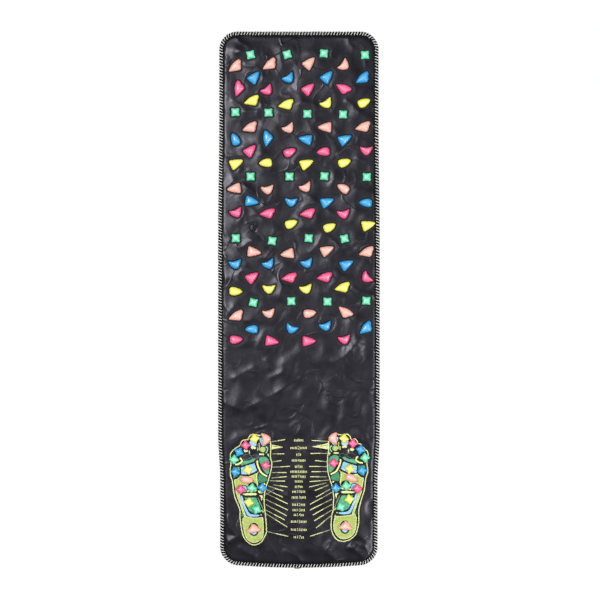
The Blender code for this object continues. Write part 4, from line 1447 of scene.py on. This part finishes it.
# The threads of one stitch. A stitch's way runs from the needle line over the top, round the cut edge
# and back underneath: share of its lean along the edge, inset and height. The lean is how far it runs
# on along the edge while it crosses it, and the phase is its place in the pitch. The chain is the
# needle thread along the inner side.
threads = {
    "white": {
        "material": whiteThread, "width": mm(1.75), "thick": mm(1.1), "phase": 0.25, "lean": 3.6,
        "way": [(-0.42, 7.2, 4.55), (-0.34, 6.4, 4.95), (-0.06, 4.0, 5.05), (0.22, 1.5, 4.85),
                (0.4, -0.1, 4.0), (0.46, -0.5, 2.7), (0.5, 0.0, 1.3), (0.7, 2.2, 0.55),
                (1.2, 8.0, 0.55)]},
    "black": {
        "material": blackThread, "width": mm(4.8), "thick": mm(1.35), "phase": 0.75, "lean": 3.6,
        "way": [(-0.58, 9.2, 4.5), (-0.36, 6.8, 4.85), (-0.06, 4.0, 4.95), (0.22, 1.5, 4.75),
                (0.4, -0.2, 3.9), (0.46, -0.6, 2.7), (0.5, 0.0, 1.3), (0.7, 2.2, 0.6), (1.2, 8.0, 0.6)]},
    "chain": {
        "material": blackThread, "width": mm(1.7), "thick": mm(0.9), "phase": 0.75, "lean": 1,
        "way": [(-1.9, 10.2, 4.25), (-1.2, 9.9, 4.75), (0.2, 9.5, 4.9), (1.5, 9.2, 4.75),
                (2.2, 9.0, 4.3)]},
}


def tubeMesh(name, rings, uvsOf):
    bm = bmesh.new()
    made = skinRings(bm, rings, bm.loops.layers.uv.new("UVMap"), uvsOf)
    bm.faces.new(made[0])
    bm.faces.new(made[-1])
    bmesh.ops.recalc_face_normals(bm, faces=bm.faces[:])
    return meshFrom(bm, name)


def threadMesh(name, way, width, thick):
    # a flattened tube along way, a list of (along the edge, inset, height), with UV along it
    line = [Vector((along, -inset, height)) for along, inset, height in way]
    sides = overlock["sides"]
    rings, lengths = [], [0.0]
    for k, point in enumerate(line):
        if k:
            lengths.append(lengths[-1] + (point - line[k - 1]).length)
        ahead = (line[min(k + 1, len(line) - 1)] - line[max(k - 1, 0)]).normalized()
        across = (Vector((1, 0, 0)) - ahead * ahead.x).normalized()
        out = ahead.cross(across)
        taper = overlock["taper"] if k in (0, len(line) - 1) else 1.0
        angles = [2 * math.pi * (s + 0.5) / sides for s in range(sides)]
        rings.append([point + across * (width / 2 * taper * math.cos(angle))
                      + out * (thick / 2 * taper * math.sin(angle)) for angle in angles])

    def uvsOf(row, k):
        corners = ((row, k), (row, k + 1), (row + 1, k + 1), (row + 1, k))
        return [(b / sides, lengths[a] / thick / overlock["lay"]) for a, b in corners]

    return tubeMesh(name, rings, uvsOf)


def stitchTree():
    # puts one stitch at each of a count of places along a path, turned with it
    tree = bpy.data.node_groups.new("overlockStitches", "GeometryNodeTree")
    for name, kind in (("Path", "Object"), ("Stitch", "Object"), ("Count", "Int"), ("Seed", "Int"),
                       ("Turn Jitter", "Float"), ("Size Jitter", "Float"), ("Thread", "Material")):
        tree.interface.new_socket(name, in_out="INPUT", socket_type="NodeSocket" + kind)
    tree.interface.new_socket("Geometry", in_out="OUTPUT", socket_type="NodeSocketGeometry")
    given = addNode(tree, "NodeGroupInput").outputs
    path = addNode(tree, "GeometryNodeObjectInfo", links={"Object": given["Path"]})
    stitch = addNode(tree, "GeometryNodeObjectInfo", links={"Object": given["Stitch"]})
    places = addNode(tree, "GeometryNodeCurveToPoints", {"mode": "COUNT"},
                     {"Curve": path.outputs["Geometry"], "Count": given["Count"]})
    facing = addNode(tree, "FunctionNodeAlignRotationToVector", {"axis": "X", "pivot_axis": "Z"},
                     {"Vector": places.outputs["Tangent"]})
    least = addNode(tree, "ShaderNodeMath", {"operation": "MULTIPLY", 1: -1.0},
                    {0: given["Turn Jitter"]})
    turn = addNode(tree, "FunctionNodeRandomValue", {"data_type": "FLOAT"},
                   {2: least.outputs[0], 3: given["Turn Jitter"], "Seed": given["Seed"]})
    spin = addNode(tree, "ShaderNodeCombineXYZ", links={"Z": turn.outputs[1]})
    turned = addNode(tree, "FunctionNodeRotateRotation", {"rotation_space": "LOCAL"},
                     {"Rotation": facing.outputs["Rotation"], "Rotate By": spin.outputs["Vector"]})
    small = addNode(tree, "ShaderNodeMath", {"operation": "SUBTRACT", 0: 1.0}, {1: given["Size Jitter"]})
    size = addNode(tree, "FunctionNodeRandomValue", {"data_type": "FLOAT", 3: 1.0},
                   {2: small.outputs[0], "Seed": given["Seed"]})
    run = addNode(tree, "GeometryNodeInstanceOnPoints", links={
        "Points": places.outputs["Points"], "Instance": stitch.outputs["Geometry"],
        "Rotation": turned.outputs["Rotation"], "Scale": size.outputs[1]})
    real = addNode(tree, "GeometryNodeRealizeInstances", links={"Geometry": run.outputs["Instances"]})
    dressed = addNode(tree, "GeometryNodeSetMaterial", links={
        "Geometry": real.outputs["Geometry"], "Material": given["Thread"]})
    addNode(tree, "NodeGroupOutput", links={"Geometry": dressed.outputs["Geometry"]})
    return tree


def pathCurve(name, points):
    curve = bpy.data.curves.new(name, "CURVE")
    curve.dimensions = "3D"
    spline = curve.splines.new("POLY")
    spline.points.add(len(points) - 1)
    for point, (x, y) in zip(spline.points, points):
        point.co = (x, y, 0, 1)
    return newObject(name, curve)


def trimmed(points, start, end):
    # the path with these lengths taken off its ends
    for cut in (start, end):
        points = list(points)
        while cut > 0:
            (x0, y0), (x1, y1) = points[:2]
            length = math.hypot(x1 - x0, y1 - y0)
            if length > cut:
                points[0] = (x0 + (x1 - x0) * cut / length, y0 + (y1 - y0) * cut / length)
                cut = 0
            else:
                points.pop(0)
                cut -= length
        points = points[::-1]
    return points


def stitchRun(name, tree, path, stitch, count, thread):
    holder = newObject(name, bpy.data.meshes.new(name))
    modifier = holder.modifiers.new("Stitches", "NODES")
    modifier.node_group = tree
    values = {"Path": path, "Stitch": stitch, "Count": count, "Turn Jitter": overlock["turnJitter"],
              "Size Jitter": overlock["sizeJitter"], "Seed": overlock["seed"], "Thread": thread}
    for item in tree.interface.items_tree:
        if item.name in values:
            modifier[item.identifier] = values[item.name]
    mesh = evaluatedMesh(holder)
    holder.modifiers.clear()
    holder.data = mesh
    return holder


def threadBand(name, part):
    # the dense thread under the stitches, all round one half of the mat
    lines = [[(x, y, mm(z)) for x, y in panelPath(part, mm(inset), overlock["bandSpacing"])]
             for inset, z in overlock["band"]]
    count = min(len(line) for line in lines)
    sections = zip(*(evenly(line, count) for line in lines))
    around, along = overlock["bandLay"]
    mesh = tubeMesh(name, list(sections), lambda row, k: [(k * around, row * along)] * 4)
    mesh.set_sharp_from_angle(angle=math.radians(overlock["bandSharpAngle"]))
    return newObject(name, mesh, [blackThread])


def evenly(points, count):
    # the same path with this number of points, evenly spaced
    lengths = np.concatenate([[0], np.cumsum([math.dist(a, b) for a, b in zip(points, points[1:])])])
    wanted = np.linspace(0, lengths[-1], count)
    axes = [np.interp(wanted, lengths, [p[axis] for p in points]) for axis in range(3)]
    return [tuple(map(float, p)) for p in zip(*axes)]


tail = {
    # the ends of the seam's threads at the middle of the near edge, from the near edge's middle
    "ways": [
        [(7, 1.5, 3.4), (3, -0.2, 3.0), (-1, -1.6, 2.6), (-5, -2.2, 2.4), (-9.5, -1.2, 2.2)],
        [(6, 0.8, 2.4), (2, -0.9, 2.2), (-3, -2.5, 2.0), (-7, -2.7, 1.9), (-10.5, -2.4, 1.8)],
        [(8, 0.4, 2.9), (4, -1.2, 2.6), (0, -2.4, 2.3), (-4, -2.6, 2.9), (-8, -2.0, 3.0)],
    ],
    "radius": mm(0.6),
}


def makeTail():
    nearEdge = mat["middleY"] - mat["length"] / 2
    made = []
    for number, way in enumerate(tail["ways"]):
        # threadMesh turns an inset's sign round
        points = [(mm(x), -(nearEdge + mm(y)), mm(z)) for x, y, z in smoothWay(way)]
        name = f"tailStrand{number}"
        strand = threadMesh(name, points, tail["radius"] * 2, tail["radius"] * 2)
        made.append(newObject(name, strand, [blackThread]))
    return made


def smoothWay(way, steps=3):
    # an open curve through the points
    out = []
    for k in range(len(way) - 1):
        around = (Vector(way[min(max(k + j, 0), len(way) - 1)]) for j in (-1, 0, 1, 2))
        out += [tuple(p) for p in between(*around, steps)]
    return out + [way[-1]]


def joined(name, objects):
    first = objects[0]
    with bpy.context.temp_override(active_object=first, selected_editable_objects=objects):
        bpy.ops.object.join()
    first.name = name
    first.data.name = name
    return first


def makeEdge(part, tree):
    clockwise = panelPath(part, 0, overlock["pathSpacing"])[::-1]
    pitch = overlock["pitch"]
    count = round(sum(math.dist(a, b) for a, b in zip(clockwise, clockwise[1:])) / pitch)
    made = [threadBand("edgeBand_" + part, part)]
    for kind, thread in threads.items():
        way = [(mm(a * thread["lean"]), mm(b), mm(c)) for a, b, c in thread["way"]]
        shift = pitch * thread["phase"]
        path = pathCurve(f"{kind}Path_{part}", trimmed(clockwise, shift, pitch - shift))
        name = kind + "Stitch"
        stitch = newObject(name, threadMesh(name, way, thread["width"], thread["thick"]))
        run = stitchRun(f"{kind}Stitches_{part}", tree, path, stitch, count, thread["material"])
        made.append(run)
        bpy.data.objects.remove(path)
        bpy.data.objects.remove(stitch)
    if part == "chart":
        made += makeTail()
    edge = joined("overlockedEdge_" + part, made)
    bendAtFold(edge, part)
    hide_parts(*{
        "field": ("edge_stitching_field", "edge_stitching_fold_left", "edge_stitching_fold_right"),
        "chart": ("edge_stitching_chart",)}[part])


stitchNodes = stitchTree()
for part in ("field", "chart"):
    makeEdge(part, stitchNodes)
print("edge stitched")


# Floor, lights and camera

studio = {
    "floorSize": 12.0,
    "floorColour": "#f4f4f4",
    "floorGlow": 0.8,  # how much of the floor's white the camera sees, over its shaded paint
    "worldStrength": 0.07,  # of its light; the camera sees it white
    "keyPlace": (-2.4, 1.2, 4.4),
    "keySize": 1.7,
    "keyPower": 235,
    "fillPlace": (2.5, -1.2, 2.6),
    "fillSize": 1.3,
    "fillPower": 100,
}
view = {
    "lens": 85,
    "sensor": 36,
    "frameWidth": 1.344,  # what the picture's 600 pixels span at the mat
    "centre": (0.0025, 0.0009),  # the place that the camera looks straight down at
}


def seenDirectly(tree):
    # 1 for rays from the camera and for those that have only passed through something clear
    rays = addNode(tree, "ShaderNodeLightPath").outputs
    both = addNode(tree, "ShaderNodeMath", {"operation": "MAXIMUM"},
                   {0: rays["Is Camera Ray"], 1: rays["Is Transmission Ray"]})
    return both.outputs[0]


def makeFloor():
    mesh = bpy.data.meshes.new("floor")
    half = studio["floorSize"] / 2
    corners = [(-half, -half, 0), (half, -half, 0), (half, half, 0), (-half, half, 0)]
    mesh.from_pydata(corners, [], [(0, 1, 2, 3)])
    material = bpy.data.materials.new("paintedWhiteFloor")
    material.use_nodes = True
    tree = material.node_tree
    tree.nodes.clear()
    paint = addNode(tree, "ShaderNodeBsdfDiffuse", {"Color": linear(studio["floorColour"])})
    glow = addNode(tree, "ShaderNodeEmission", {"Color": (1, 1, 1, 1), "Strength": 1.0})
    share = addNode(tree, "ShaderNodeMath", {"operation": "MULTIPLY", 1: studio["floorGlow"]},
                    {0: seenDirectly(tree)})
    mix = addNode(tree, "ShaderNodeMixShader", links={
        "Fac": share.outputs[0], 1: paint.outputs["BSDF"], 2: glow.outputs["Emission"]})
    addNode(tree, "ShaderNodeOutputMaterial", links={"Surface": mix.outputs["Shader"]})
    newObject("floor", mesh, [material])


def makeLamp(name, place, size, power):
    lamp = bpy.data.lights.new(name, "AREA")
    lamp.size = size
    lamp.energy = power
    obj = newObject(name, lamp)
    obj.location = place
    obj.rotation_euler = Vector(place).to_track_quat("Z", "Y").to_euler()


def makeWorld():
    world = bpy.data.worlds.new("studio")
    world.use_nodes = True
    tree = world.node_tree
    tree.nodes.clear()
    extra = addNode(tree, "ShaderNodeMath", {"operation": "MULTIPLY", 1: 1 - studio["worldStrength"]},
                    {0: seenDirectly(tree)})
    strength = addNode(tree, "ShaderNodeMath", {"operation": "ADD", 1: studio["worldStrength"]},
                       {0: extra.outputs[0]})
    light = addNode(tree, "ShaderNodeBackground", {"Color": (1, 1, 1, 1)},
                    {"Strength": strength.outputs[0]})
    addNode(tree, "ShaderNodeOutputWorld", links={"Surface": light.outputs["Background"]})
    bpy.context.scene.world = world


def makeCamera():
    camera = bpy.data.cameras.new("camera")
    camera.lens, camera.sensor_width = view["lens"], view["sensor"]
    obj = newObject("camera", camera)
    distance = view["frameWidth"] * view["lens"] / view["sensor"]
    obj.location = (*view["centre"], distance + mat["top"])
    bpy.context.scene.camera = obj


makeFloor()
makeLamp("keyLamp", studio["keyPlace"], studio["keySize"], studio["keyPower"])
makeLamp("fillLamp", studio["fillPlace"], studio["fillSize"], studio["fillPower"])
makeWorld()
makeCamera()
bpy.context.scene.view_settings.view_transform = "Standard"
print("studio set up")
